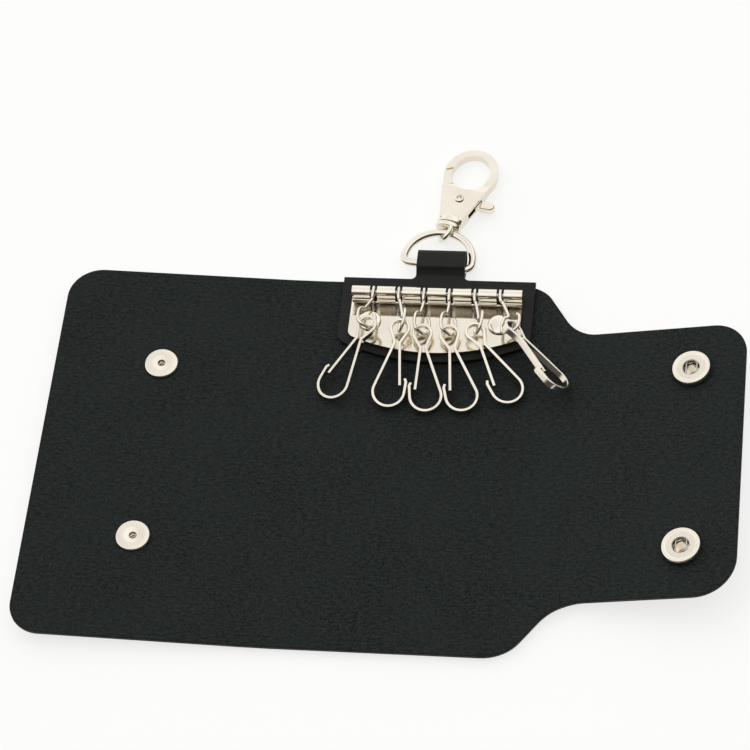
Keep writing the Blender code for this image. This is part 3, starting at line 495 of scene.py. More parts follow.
class Finish(Nodes):
    """A node material, with a colour that its tones are shades of."""

    def __init__(self, name, colour, roughness, metallic=0.0):
        self.colour = colour
        self.material = bpy.data.materials.new(name)
        self.material.use_nodes = True
        self.material.diffuse_color = (*colour, 1)
        super().__init__(self.material.node_tree)
        self.shader = self.tree.nodes["Principled BSDF"]
        self.set("Base Color", colour)
        self.set("Roughness", roughness)
        self.set("Metallic", metallic)

    def place(self, flat=False):
        """Texture place: the flat hide's own map, or the piece's own frame."""
        return self.node("ShaderNodeTexCoord").outputs["UV" if flat else "Object"]

    def stretched(self, place, x, y, z):
        """The texture place scaled along each axis: a small scale draws features out."""
        mapping = self.node("ShaderNodeMapping")
        mapping.inputs["Scale"].default_value = (x, y, z)
        self.link(place, mapping.inputs["Vector"])
        return mapping.outputs[0]

    def noise(self, place, size, detail=3.0, rough=0.55):
        """Soft noise whose features are about that size, in metres."""
        noise = self.node("ShaderNodeTexNoise")
        noise.inputs["Scale"].default_value = 1 / size
        noise.inputs["Detail"].default_value = detail
        noise.inputs["Roughness"].default_value = rough
        self.link(place, noise.inputs["Vector"])
        return noise.outputs["Fac"]

    def cells(self, place, size):
        """Distance from scattered points that are about that far apart."""
        cells = self.node("ShaderNodeTexVoronoi")
        cells.inputs["Scale"].default_value = 1 / size
        self.link(place, cells.inputs["Vector"])
        return cells.outputs["Distance"]

    def span(self, value, low, high, to_low=0.0, to_high=1.0):
        """Maps low to high onto a new range, clamped."""
        span = self.node("ShaderNodeMapRange")
        for key, number in zip(("From Min", "From Max", "To Min", "To Max"),
                               (low, high, to_low, to_high)):
            span.inputs[key].default_value = number
        self.link(value, span.inputs["Value"])
        return span.outputs[0]

    def shade(self, share):
        """The finish's own colour, made darker or lighter."""
        return tuple(c * share for c in self.colour)

    def tones(self, value, low, high, dark, light):
        """Runs from a dark to a light shade as the value runs from low to high."""
        return self.blend(self.span(value, low, high), self.shade(dark), self.shade(light))

    def bump(self, height, depth, strength=1.0, under=None):
        """Normals that follow a height, on top of the normals under it."""
        bump = self.node("ShaderNodeBump")
        bump.inputs["Strength"].default_value = strength
        bump.inputs["Distance"].default_value = depth
        self.link(height, bump.inputs["Height"])
        if under is not None:
            self.link(under, bump.inputs["Normal"])
        return bump.outputs[0]

    def set(self, socket, value):
        """Gives an input of the shader its value."""
        self.feed(value, self.shader.inputs[socket])


STRAY_FIBRE = (0.16, 0.165, 0.155)
EDGE_DYE = (0.020, 0.019, 0.018)
TABLE_GLOW = (1.0, 1.0, 0.985)
GLOW_SHARE = 0.75           # of the glow in the table where it is seen or mirrored


def napped_hide(colour):
    """Short dense nap with brushed streaks, soft clouds and stray pale fibres."""
    finish = Finish("napped_hide", colour, 0.95)
    flat = finish.place(flat=True)
    fibres = finish.noise(flat, 0.55 * MM, 3, 0.6)
    tufts = finish.noise(flat, 1.5 * MM, 2)
    streaks = finish.noise(finish.stretched(flat, 0.5, 1, 1), 0.8 * MM, 3, 0.6)
    clouds = finish.noise(flat, 26 * MM, 2)
    depth = finish.plus(finish.times(fibres, 0.55), finish.times(streaks, 0.45))
    tone = finish.tones(depth, 0.36, 0.64, 0.24, 1.72)
    tone = finish.blend(finish.span(clouds, 0.35, 0.65, 0.0, 0.32), tone, finish.shade(1.30))
    stray = finish.times(finish.span(finish.cells(flat, 1.6 * MM), 0.10, 0.04),
                         finish.span(finish.noise(flat, 7 * MM, 1), 0.60, 0.68))
    tone = finish.blend(finish.times(stray, 0.5), tone, STRAY_FIBRE)
    finish.set("Base Color", tone)
    height = finish.plus(finish.times(fibres, 0.7), finish.times(tufts, 0.5))
    finish.set("Normal", finish.bump(height, 0.22 * MM, 0.8))
    finish.set("Sheen Weight", 0.04)
    finish.set("Sheen Roughness", 0.5)
    finish.set("Specular IOR Level", 0.08)
    return finish.material


def grained_hide(colour):
    """Smooth finished side: fine pebbles with creases between them."""
    finish = Finish("grained_hide", colour, 0.48)
    flat = finish.place(flat=True)
    pebbles = finish.cells(flat, 0.85 * MM)
    creases = finish.noise(flat, 2.6 * MM, 4)
    finish.set("Base Color", finish.tones(creases, 0.35, 0.65, 0.75, 1.35))
    finish.set("Roughness", finish.span(creases, 0.3, 0.7, 0.40, 0.58))
    under = finish.bump(pebbles, 0.10 * MM, 0.5)
    finish.set("Normal", finish.bump(creases, 0.12 * MM, 0.4, under))
    return finish.material


def raw_edge(colour):
    """Fibrous cut edge, dyed dark in soft patches and paler between them."""
    finish = Finish("raw_edge", colour, 0.85)
    place = finish.place()
    fibres = finish.noise(finish.stretched(place, 1, 1, 3), 0.35 * MM, 4, 0.7)
    patches = finish.noise(place, 9 * MM, 2)
    tone = finish.tones(fibres, 0.35, 0.65, 0.35, 1.5)
    tone = finish.blend(finish.span(patches, 0.40, 0.60), EDGE_DYE, tone)
    finish.set("Base Color", tone)
    finish.set("Normal", finish.bump(fibres, 0.15 * MM, 0.7))
    return finish.material


def strap_leather(colour):
    """Smooth strap leather with hair pores and soft pull marks."""
    finish = Finish("strap_leather", colour, 0.55)
    flat = finish.place(flat=True)
    pores = finish.cells(flat, 0.42 * MM)
    pulls = finish.noise(finish.stretched(flat, 0.4, 1, 1), 2.2 * MM, 3)
    finish.set("Base Color", finish.tones(pulls, 0.35, 0.65, 0.8, 1.25))
    finish.set("Roughness", finish.span(pulls, 0.3, 0.7, 0.44, 0.62))
    under = finish.bump(pores, 0.05 * MM, 0.35)
    finish.set("Normal", finish.bump(pulls, 0.12 * MM, 0.35, under))
    finish.set("Specular IOR Level", 0.16)
    return finish.material


def nickel_plate(name, colour):
    """Plated metal with clouded polish and hair-fine handling marks, and its normals."""
    finish = Finish(name, colour, 0.16, 1.0)
    place = finish.place()
    clouds = finish.noise(place, 6 * MM, 2)
    marks = finish.noise(finish.stretched(place, 1, 9, 4), 1.1 * MM, 4, 0.7)
    finish.set("Base Color", finish.tones(clouds, 0.35, 0.65, 0.97, 1.03))
    finish.set("Roughness", finish.plus(finish.span(clouds, 0.3, 0.7, 0.10, 0.14),
                                        finish.span(marks, 0.55, 0.75, 0.0, 0.05)))
    relief = finish.bump(marks, 0.02 * MM, 0.25)
    finish.set("Normal", relief)
    return finish, relief


def bright_nickel(colour):
    return nickel_plate("bright_nickel", colour)[0].material


def pressed_nickel(colour):
    """The plate's nickel, with the trough before the roll sloping down to the roll."""
    finish, relief = nickel_plate("pressed_nickel", colour)
    crease = root() @ Vector((0, ROLL_LINE - TROUGH_START, 0))
    parts = finish.node("ShaderNodeSeparateXYZ")
    finish.link(finish.place(), parts.inputs[0])
    fall = finish.span(parts.outputs["Y"], crease.y, crease.y + TROUGH_LENGTH,
                       TROUGH_FALL, 0.0)
    finish.set("Normal", finish.bump(fall, 1.0, 1.0, relief))
    return finish.material


def drawn_steel(colour):
    """Bare steel with fine lines along its drawing."""
    finish = Finish("drawn_steel", colour, 0.28, 1.0)
    place = finish.place()
    lines = finish.noise(finish.stretched(place, 6, 1, 6), 0.6 * MM, 3, 0.6)
    finish.set("Base Color", finish.tones(lines, 0.3, 0.7, 0.82, 1.1))
    finish.set("Roughness", finish.span(lines, 0.3, 0.7, 0.22, 0.36))
    finish.set("Normal", finish.bump(lines, 0.02 * MM, 0.3))
    return finish.material


def table_top(colour):
    """Pale matt table, lit to near white where it is seen or mirrored."""
    finish = Finish("table_top", colour, 0.9)
    mottle = finish.noise(finish.place(), 40 * MM, 2)
    finish.set("Base Color", finish.tones(mottle, 0.3, 0.7, 0.995, 1))
    glow = finish.node("ShaderNodeEmission")
    finish.feed(TABLE_GLOW, glow.inputs["Color"])
    rays = finish.node("ShaderNodeLightPath")
    seen = finish.math("MAXIMUM", rays.outputs["Is Camera Ray"],
                       finish.math("MAXIMUM", rays.outputs["Is Glossy Ray"],
                                   rays.outputs["Is Transmission Ray"]))
    mix = finish.node("ShaderNodeMixShader")
    finish.link(finish.times(seen, GLOW_SHARE), mix.inputs[0])
    finish.link(finish.shader.outputs[0], mix.inputs[1])
    finish.link(glow.outputs[0], mix.inputs[2])
    finish.link(mix.outputs[0], finish.tree.nodes["Material Output"].inputs["Surface"])
    return finish.material


# What a piece is made of: its finish and the slot it fills
NICKEL = ("bright_nickel", "nickel")
PRESSED_NICKEL = ("pressed_nickel", "nickel")
PLATED_PIN = ("bright_nickel", "steel_wire")
STEEL = ("drawn_steel", "steel_wire")
STRAP_LEATHER = ("strap_leather", "smooth_leather")

# How each finish is made and which of the user's colours it takes
FINISH_MAKERS = {
    "napped_hide": (napped_hide, "nap"),
    "grained_hide": (grained_hide, "grain"),
    "raw_edge": (raw_edge, "cut_edge"),
    "strap_leather": (strap_leather, "strap"),
    "bright_nickel": (bright_nickel, "nickel"),
    "pressed_nickel": (pressed_nickel, "nickel"),
    "drawn_steel": (drawn_steel, "steel"),
    "table_top": (table_top, "floor"),
}


def finish_named(name):
    """The finish of that name, made the first time it is asked for."""
    found = bpy.data.materials.get(name)
    if found:
        return found
    maker, colour = FINISH_MAKERS[name]
    return maker(tuple(getattr(bpy.context.scene.key_finishes, colour)))


# Places of the frames that the pieces are drawn in

PLATE_SHIFT = 1.2 * MM
ROLL_LINE = 55.1 * MM
PLATE_DROP = 19.9 * MM
PLATE_ARC = 59.0 * MM
TROUGH = 0.15 * MM
RIVET_SPACING = 37.7 * MM
RIVET_LINE = 9.6 * MM
CAP_DROP = 2.65 * MM          # bottom of the rivet caps under the inner face
STUD_DROP = 4.35 * MM         # bottom of the studs under the inner face
HOOKS = 6


def case():
    return bpy.context.scene.key_case


def plate():
    return bpy.context.scene.key_plate


def hook():
    return bpy.context.scene.key_hook


def root():
    """The frame of the case: middle of the centre panel, inner face at zero."""
    sizes = case()
    left = -sizes.centre_width / 2 + sizes.left_spine / 2 + RUN / 2
    return shift(centre_low.x - left, (centre_low.y + centre_high.y) / 2, centre_high.z)


def bend_lines():
    """Place across of each fold line and its signed angle at rest."""
    sizes = case()
    left = -sizes.centre_width / 2
    right = sizes.centre_width / 2
    left_tilt = asin((STUD_DROP - CAP_DROP) / sizes.snap_reach)
    return {
        "left_inner": (left + sizes.left_spine / 2, left_tilt / 2),
        "left_outer": (left - sizes.left_spine / 2, left_tilt / 2),
        "right_inner": (right - sizes.right_spine / 2, -sizes.flap_tilt / 2),
        "right_outer": (right + sizes.right_spine / 2, -sizes.flap_tilt / 2),
    }


def turn_at(line, share=1.0):
    """Rest turn of the hide about one fold line, or a share of it."""
    across, angle = bend_lines()[line]
    place = shift(across, 0, case().fold_rise)
    return place @ Matrix.Rotation(angle * share, 4, "Y") @ place.inverted()


def flap_frame():
    """The flap's frame: where the flat case would lie if it followed the flap."""
    return root() @ turn_at("right_inner") @ turn_at("right_outer")


def left_frame():
    """The left panel's frame, in the same way."""
    return root() @ turn_at("left_inner") @ turn_at("left_outer")


def soft_step(value):
    """A soft rise from 0 to 1 as the value goes from 0 to 1."""
    value = min(max(value, 0.0), 1.0)
    return value * value * (3 - 2 * value)


def hide_place(point):
    """Rest place of a point of the flat hide, with a soft bend at each fold line."""
    lines = bend_lines()
    names = ("right_inner", "right_outer") if point.x > 0 else ("left_inner", "left_outer")
    side = 1 if point.x > 0 else -1
    turn = root()
    for name in names:
        past = (point.x - lines[name][0]) * side
        share = soft_step((past + case().bend) / (2 * case().bend))
        if share > 0:
            turn = turn @ turn_at(name, share)
    return turn @ point


# Leather case

# Radii of the corners: top left, bottom left, top right and bottom right
CORNERS = (10.0 * MM, 9.0 * MM, 9.5 * MM, 12.0 * MM)
# Each shoulder: its start before the fold, its end after it, its outward and inward radius
SHOULDER_TOP = (6.85 * MM, 4.15 * MM, 9.0 * MM, 11.0 * MM)
SHOULDER_BOTTOM = (8.85 * MM, 4.35 * MM, 13.0 * MM, 15.0 * MM)
POST_BORE = 2.0 * MM
CAP_BORE = 2.95 * MM
RIVET_BORE = 1.35 * MM
STATION_PITCH = 4.0 * MM    # between the lines that divide the flat parts of the hide
STATION_ROOM = 0.5 * MM     # kept free beside a bend
BEND_STATIONS = 5           # to each side of a fold line
HIDE_ROWS = 20
FACE_SLOPE = 0.6            # least upward or downward part of a normal on the two faces


def case_outline():
    """The whole case laid flat, counterclockwise from the lower left corner."""
    sizes = case()
    fold = sizes.centre_width / 2
    left = -fold - sizes.left_width
    right = fold + sizes.flap_width
    half = sizes.height / 2
    low = sizes.flap_height / 2
    top_left, bottom_left, top_right, bottom_right = CORNERS
    before, after, outward, inward = SHOULDER_TOP
    before_low, after_low, outward_low, inward_low = SHOULDER_BOTTOM
    return rounded([
        (left, -half, bottom_left),
        (fold - before_low, -half, outward_low),
        (fold + after_low, -low, inward_low),
        (right, -low, bottom_right),
        (right, low, top_right),
        (fold + after, low, inward),
        (fold - before, half, outward),
        (left, half, top_left),
    ])


def hide_stations():
    """Places across the case where the hide is divided, closer at the folds."""
    sizes = case()
    left = -sizes.centre_width / 2 - sizes.left_width
    right = sizes.centre_width / 2 + sizes.flap_width
    count = int((right - left) / STATION_PITCH)
    stations = [left + (right - left) * i / count for i in range(1, count)]
    for across, _ in bend_lines().values():
        stations = [x for x in stations if abs(x - across) > sizes.bend + STATION_ROOM]
        stations += [across + sizes.bend * k / BEND_STATIONS
                     for k in range(-BEND_STATIONS, BEND_STATIONS + 1)]
    return sorted(stations)


def divide(bm, place, normal, drop=False):
    """Divides a shape along a plane, and drops what lies past it if asked to."""
    bmesh.ops.bisect_plane(bm, geom=bm.verts[:] + bm.edges[:] + bm.faces[:], dist=HAIR,
                           plane_co=place, plane_no=normal, clear_outer=drop)


def flat_hide():
    """The cut hide with rounded edges and its holes, divided so that it can bend."""
    sizes = case()
    work = block("hide", prism(case_outline(), -sizes.thickness, 0))
    soften(work, sizes.edge, 3, 60)
    through = 2 * sizes.thickness
    reach = -sizes.centre_width / 2 - sizes.snap_reach
    flap_reach = sizes.centre_width / 2 + sizes.centre_width - sizes.snap_reach
    for side in (-1, 1):
        up = side * sizes.snap_spacing / 2
        for bore, place in ((POST_BORE, shift(reach, up, 0)), (CAP_BORE, shift(flap_reach, up, 0)),
                            (RIVET_BORE, rivet_place(side))):
            cut(work, placed(cylinder(bore, -through, through), place))
    applied(work)
    bm = bmesh.new()
    bm.from_mesh(work.data)
    for x in hide_stations():
        divide(bm, (x, 0, 0), (1, 0, 0))
    for i in range(1 - HIDE_ROWS // 2, HIDE_ROWS // 2):
        divide(bm, (0, sizes.height * i / HIDE_ROWS, 0), (0, 1, 0))
    data = work.data
    bpy.data.objects.remove(work)
    bpy.data.meshes.remove(data)
    return bm


def map_flat(bm, rise=0):
    """Lays the flat map from above; where the leather rises, its rise adds to its length."""
    flat_map = bm.loops.layers.uv.new("flat")
    for face in bm.faces:
        for loop in face.loops:
            place = loop.vert.co
            loop[flat_map].uv = (place.x, place.y + place.z * rise)


def hide_strip(sheet, name, low, high):
    """One strip of the hide, bent to its place at rest, with its flat map and faces sorted."""
    bm = sheet.copy()
    for limit, way in ((low, -1), (high, 1)):
        if limit is not None:
            divide(bm, (limit, 0, 0), (way, 0, 0), True)
    nap, grain, raw = range(3)
    lip = -case().thickness / 5     # the nap turns over the edge as far down as this
    map_flat(bm)
    for face in bm.faces:
        face.normal_update()
        if abs(face.normal.z) > FACE_SLOPE:
            face.material_index = nap if face.normal.z > 0 else grain
        else:
            face.material_index = raw if face.calc_center_median().z < lip else nap
    for vert in bm.verts:
        vert.co = hide_place(vert.co)
    work = block(name, bm)
    for finish in ("napped_hide", "grained_hide", "raw_edge"):
        work.data.materials.append(finish_named(finish))
    shaded(work, 50)
    return work


class KEYHOLDER_OT_case(bpy.types.Operator):
    """Make the leather case, in four strips bent at the fold lines to their place at rest"""

    bl_idname = "keyholder.case"
    bl_label = "Leather Case"

    def execute(self, context):
        sizes = context.scene.key_case
        fold = sizes.centre_width / 2
        sheet = flat_hide()
        strips = {
            "hide_left": (None, -fold, "left_outer", "left_spine", "left_panel", "left_panel"),
            "hide_centre_left": (-fold, 0, "left_inner", "case_back", "left_spine", "left_spine"),
            "hide_centre_right": (0, fold, "right_inner", "case_back", "right_spine",
                                  "centre_panel", "right_spine"),
            "hide_flap": (fold, None, "right_outer", "right_spine", "right_flap", "right_flap"),
        }
        for name, (low, high, line, near, far, *nodes) in strips.items():
            strip = hide_strip(sheet, name, low, high)
            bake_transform(strip)
            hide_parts(*nodes)
        sheet.free()
        return {"FINISHED"}


# Strap patch

PATCH_BORDER = 2.3 * MM
PATCH_SIDE = 3.3 * MM
PATCH_OVERHANG = 0.6 * MM
PATCH_CORNER = 4.5 * MM
TAB_FILLET = 1.6 * MM
LOOP_HEIGHT = 2.8 * MM
LOOP_LENGTH = 6.6 * MM
LOOP_RISE = ((1.0, 0.62), (0.5, 0.9))   # before the loop's mouth and up, as shares of its radii
STRAP_EDGE = 0.3 * MM
STRAP_CUTTER = 16.0 * MM    # thickness of the cutter that gives the patch its outline
LOOP_TURN = radians(10)


def rivet_place(side):
    """The left rivet's place for side -1 and the right one's for side 1."""
    return shift(PLATE_SHIFT + side * RIVET_SPACING / 2, ROLL_LINE - RIVET_LINE, 0)


def plate_width():
    return (HOOKS + 1) * plate().knuckle + HOOKS * plate().slot


def plate_outline(side, below, top, corner):
    """The plate's outline with its bowed lower edge, widened at the sides and below."""
    half = plate_width() / 2 + side
    radius = PLATE_ARC + below
    centre = ROLL_LINE - PLATE_DROP + PLATE_ARC
    reach = half - corner
    inset = radius - corner
    spread = asin(reach / inset)
    corner_centre = (-reach, centre - inset * cos(spread))
    left = arc(corner_centre, corner, pi, 3 * pi / 2 - spread)
    bow = arc((0, centre), radius, -pi / 2 - spread, -pi / 2 + spread, spread / 14)
    right = mirrored(reversed(left))
    return [Vector((half, top)), Vector((-half, top))] + left[:-1] + bow + right[1:]


def patch_top():
    return GAP + plate().patch


def patch_edge():
    return case().height / 2 + PATCH_OVERHANG


def strap_outline():
    """The patch in plan, with the strap standing out of its upper edge."""
    half = plate().tab_width / 2
    edge = patch_edge()
    end = edge + plate().tab_length + OVER
    side = [Vector((half, end))]
    side += arc((half + TAB_FILLET, edge + TAB_FILLET), TAB_FILLET, pi, 3 * pi / 2, LOOP_TURN)
    body = plate_outline(PATCH_SIDE, PATCH_BORDER, edge, PATCH_CORNER)
    return mirrored(side) + body[1:] + body[:1] + side[::-1]


def strap_profile():
    """Section of the patch and of the strap's loop round the ring, along and up."""
    top = patch_top()
    middle = (top + GAP) / 2
    outer = LOOP_HEIGHT / 2 + plate().patch
    inner = LOOP_HEIGHT / 2
    bend = patch_edge() + plate().tab_length - outer
    mouth = bend - (LOOP_LENGTH - 2 * inner)
    low = ROLL_LINE - PLATE_DROP - PATCH_BORDER - OVER
    rise = [Vector((patch_edge() + 2 * RUN, 0))]
    rise += [Vector((mouth - inner * back, outer * up)) for back, up in LOOP_RISE]
    rise = smoothed(rise + [Vector((mouth, outer)), Vector((bend, outer))], 4)
    lower = [Vector((p.x, middle - p.y)) for p in rise]
    lower[0].y = GAP
    upper = [Vector((p.x, middle + p.y)) for p in reversed(rise)]
    upper[-1].y = top
    shape = [Vector((low, GAP))]
    shape += [Vector((p.x, min(p.y, GAP))) for p in lower]
    shape += arc((bend, middle), outer, -pi / 2, pi / 2, LOOP_TURN)[1:-1]
    shape += [Vector((p.x, max(p.y, top))) for p in upper]
    shape.append(Vector((low, top)))
    slot = arc((bend, middle), inner, -pi / 2, pi / 2, LOOP_TURN)
    slot += arc((mouth, middle), inner, pi / 2, 3 * pi / 2, LOOP_TURN)
    return shape, slot


class KEYHOLDER_OT_strap(bpy.types.Operator):
    """Make the patch under the plate, with the strap that loops round the ring"""

    bl_idname = "keyholder.strap"
    bl_label = "Strap Patch"

    def execute(self, context):
        shape, slot = strap_profile()
        width = plate().patch_width + 2 * OVER
        centre = shift(PLATE_SHIFT, 0, 0)
        work = block("strap", placed(slab(shape, width), centre @ STAND))
        cut(work, placed(slab(strap_outline(), STRAP_CUTTER), centre), "INTERSECT")
        cut(work, placed(slab(slot, width), centre @ STAND))
        for side in (-1, 1):
            cut(work, placed(cylinder(RIVET_BORE, -OVER, 3 * OVER), rivet_place(side)))
        soften(work, STRAP_EDGE, 3, 50)
        applied(work)
        bm = bmesh.new()
        bm.from_mesh(work.data)
        map_flat(bm, 1)
        bm.to_mesh(work.data)
        bm.free()
        finished(shaded(work), root(), STRAP_LEATHER, "case_back", "strap_patch")
        return {"FINISHED"}


# Hinge plate with its rod and rivets

PLATE_CORNER = 2.4 * MM
PLATE_EDGE = 0.09 * MM
TROUGH_START = 7.7 * MM
TROUGH_END = 1.6 * MM
TROUGH_DEEP = 0.34 * MM
TROUGH_LENGTH = 5.6 * MM
TROUGH_FALL = 2.0 * MM         # how much deeper the trough is shaded than it is drawn
TROUGH_LOW = 0.8               # share of the trough's width, from its crease to its lowest line
TROUGH_STEPS = 14
ROLL_PAST = radians(24)        # how far the roll goes on past three quarters of a turn
ROD_INSET = 0.8 * MM
RIVET_DOME = 1.0 * MM
RIVET_RIM = 0.22               # share of the head's height in its straight rim
RIVET_EDGE = 0.1 * MM
RIVET_SHANK = 1.1 * MM
DOME_STEPS = 12
CAP_HOLLOW = 0.65 * MM
CAP_SECTION = ((0, -1.0), (2.7, -1.0), (3.3, -0.7), (3.6, -0.3), (3.3, 0), (1.35, 0),
               (1.35, -0.65), (0, -0.65))


def plate_base():
    return patch_top() + GAP + TROUGH


def roll_height():
    return plate_base() + plate().roll


def hanger_x(number):
    return PLATE_SHIFT + (number - (HOOKS - 1) / 2) * (plate().knuckle + plate().slot)


def trough_depth(share):
    """Depth of the pressed trough, from its crease towards the roll."""
    if share < TROUGH_LOW:
        return TROUGH_DEEP * (1 - (1 - share / TROUGH_LOW) ** 2)
    return TROUGH_DEEP * cos((share - TROUGH_LOW) / (1 - TROUGH_LOW) * pi / 2) ** 2


def sheet_profile():
    """The plate's section: flat, a pressed trough, then the roll round the rod."""
    middle = plate_base() + plate().sheet / 2
    line = [Vector((ROLL_LINE - PLATE_DROP - OVER, middle))]
    for i in range(TROUGH_STEPS + 1):
        along = ROLL_LINE - TROUGH_START + (TROUGH_START - TROUGH_END) * i / TROUGH_STEPS
        line.append(Vector((along, middle - trough_depth(i / TROUGH_STEPS))))
    roll = plate().roll - plate().sheet / 2
    line += arc((ROLL_LINE, roll_height()), roll, -pi / 2, pi + ROLL_PAST, radians(7))
    return line


def folded_sheet(path, thickness, width):
    """A bent sheet of even thickness, its width along Z."""
    left, right = [], []
    for here, before, after in courses(path):
        along = unit(before + after)
        across = Vector((-along.y, along.x)) * thickness / 2
        left.append(here + across)
        right.append(here - across)
    return slab(left + right[::-1], width)


class KEYHOLDER_OT_plate(bpy.types.Operator):
    """Make the plate with its rolled knuckles, the rod in them and the two rivets"""

    bl_idname = "keyholder.plate"
    bl_label = "Hook Plate"

    def execute(self, context):
        sizes = context.scene.key_plate
        centre = shift(PLATE_SHIFT, 0, 0)
        sheet = folded_sheet(sheet_profile(), sizes.sheet, plate_width())
        work = block("plate", placed(sheet, centre @ STAND))
        top = ROLL_LINE + sizes.roll + OVER
        keep = prism(plate_outline(0, 0, top, PLATE_CORNER), plate_base() - OVER,
                     roll_height() + sizes.roll + OVER)
        cut(work, placed(keep, centre), "INTERSECT")
        for i in range(HOOKS):
            length = 2 * sizes.roll + 2 * OVER
            along = ROLL_LINE - sizes.roll - RUN * 2 + length / 2
            cut(work, placed(flat_box(sizes.slot, length),
                             shift(hanger_x(i), along, roll_height())))
        for side in (-1, 1):
            hole = cylinder(RIVET_BORE, plate_base() - OVER, plate_base() + 2 * OVER)
            cut(work, placed(hole, rivet_place(side)))
        soften(work, PLATE_EDGE, 2, 60)
        applied(work)
        finished(shaded(work), root(), PRESSED_NICKEL, "case_back", "hook_plate")
        half = plate_width() / 2 - ROD_INSET
        lying = shift(PLATE_SHIFT, ROLL_LINE, roll_height()) @ Matrix.Rotation(pi / 2, 4, "Y")
        rod = placed(cylinder(sizes.rod, -half, half, 24), lying)
        piece("rod", rod, root(), STEEL, "case_back", "hook_rod")
        for side, name in ((-1, "left"), (1, "right")):
            place = root() @ rivet_place(side)
            piece(f"rivet_{name}", turned(rivet_profile()), place, NICKEL, "case_back",
                  f"plate_rivet_{name}")
            piece(f"rivet_seat_{name}", turned(rivet_cap_profile()), place, NICKEL, "case_back",
                  f"rivet_cap_{name}")
        return {"FINISHED"}


def rivet_profile():
    """A domed head on a plain shank."""
    base = plate_base() + plate().sheet + GAP
    foot = outer_level() - CAP_HOLLOW + RUN
    head = plate().rivet
    dome = [(head * cos(t), base + RIVET_DOME * (RIVET_RIM + (1 - RIVET_RIM) * sin(t)))
            for t in (pi / 2 * i / DOME_STEPS for i in range(DOME_STEPS))]
    return ([(head - RIVET_EDGE, base), (head, base + RIVET_EDGE)] + dome
            + [(0, base + RIVET_DOME), (0, foot), (RIVET_SHANK, foot), (RIVET_SHANK, base)])


def outer_level():
    """Where the pieces on the outer face of the hide begin."""
    return -case().thickness - GAP


def rivet_cap_profile():
    """A cap on the outer face, with a hollow for the end of the rivet's shank."""
    return soft_profile(section(outer_level(), CAP_SECTION), PRESSED_EDGE)


# Hangers

HANGER_LEAN = (-0.05, 0.14, 0.03, 0.05, 0.14, 0.26)
HANGER_RISE = tuple(radians(a) for a in (16.0, 11.5, 8.0, 8.0, 11.5, 13.5))
HANGER_TWIST = tuple(radians(a) for a in (-34.0, 70.0, -46.0, -46.0, 66.0, 24.0))
HANGER_LOOP_HALF = 2.8 * MM
HANGER_LOOP_HEIGHT = 7.2 * MM
HANGER_NECK = 3.6 * MM
SQUARENESS = 0.7                # of the oval loop: 1 gives an ellipse
EXIT_LEAN = 0.06                # share of the lean where the wire leaves the eye
EXIT_HEIGHT = 0.55              # its height there, as a share of the eye's radius
NECK_LEAN = 0.3                 # share of the lean at the neck
# Turns at which the wire's eye and its loop are drawn
HANGER_EYE = [radians(286 - 26 * i) for i in range(12)]
HANGER_LOOP = [radians(104 + 22.5 * i) for i in range(15)]


def squared_oval(half_width, half_height, angle):
    """A point of an oval that is fuller at its corners than an ellipse."""
    x, y = cos(angle), sin(angle)
    return (copysign(half_width * abs(x) ** SQUARENESS, x),
            copysign(half_height * abs(y) ** SQUARENESS, y))


def hanger_local(number):
    """The hanger's frame, seen from the case."""
    place = shift(hanger_x(number), ROLL_LINE, roll_height())
    return place @ Matrix.Rotation(-HANGER_RISE[number], 4, "X")


def hanger_path(number):
    """A small eye round the rod, a neck and an oval loop for the clip."""
    wire_radius = plate().hanger_wire
    reach = plate().hanger_reach
    eye = plate().rod + RUN + wire_radius
    lean = HANGER_LEAN[number] * reach
    path = [Vector((0, eye * sin(t), eye * cos(t))) for t in HANGER_EYE]
    path.append(Vector((lean * EXIT_LEAN, -(eye + HANGER_NECK) / 2, eye * EXIT_HEIGHT)))
    path.append(Vector((lean * NECK_LEAN, -HANGER_NECK, 0)))
    across = Vector((cos(HANGER_TWIST[number]), 0, sin(HANGER_TWIST[number])))
    half = HANGER_LOOP_HEIGHT / 2
    centre = Vector((lean, -(reach - half), 0))
    for turn in HANGER_LOOP:
        wide, high = squared_oval(HANGER_LOOP_HALF, half, turn)
        path.append(centre + across * wide + Vector((0, high, 0)))
    return smoothed(path, 6)


class KEYHOLDER_OT_hangers(bpy.types.Operator):
    """Make the six bent wire hangers on the rod"""

    bl_idname = "keyholder.hangers"
    bl_label = "Hangers"

    def execute(self, context):
        for number in range(HOOKS):
            bm = wire(hanger_path(number), plate().hanger_wire)
            piece(f"hanger_wire_{number + 1}", bm, root() @ hanger_local(number), NICKEL,
                  f"hanger_{number + 1}", f"hanger_{number + 1}", angle=60)
        return {"FINISHED"}


# Key clips

CLIP_EYE = 2.6 * MM
CLIP_NECK_DROP = 4.7 * MM
CLIP_NECK_HALF = 0.72 * MM
CLIP_BOW_DROP = 19.8 * MM
CLIP_GATE_DROP = 17.6 * MM
CLIP_GATE_INSET = 1.6 * MM
CLIP_END_DROP = 16.3 * MM
CLIP_YAW = tuple(radians(a) for a in (-26.4, -5.2, 7.2, 14.6, 31.8, 41.1))
CLIP_TWIST = tuple(radians(a) for a in (6.0, -3.0, 0.0, 0.0, -3.0, -44.0))
CLIP_LIFT = tuple(a * MM for a in (0.0, 0.0, 0.0, 0.0, 0.0, 0.95))
CLIP_SHIFT = tuple(a * MM for a in (0.8, -0.9, 0.8, 0.9, -1.1, 1.3))
CLIP_SLACK = tuple(a * MM for a in (2.1, 2.6, 1.6, 1.6, 2.3, 2.3))
CLIP_FACING = (1, -1, 1, 1, 1, 1)       # side of the mouth, 1 to the left
CLIP_EDGE = 0.2 * MM
CLIP_LIP_INSET = 0.5 * MM
CLIP_LIP_RISE = 0.9 * MM


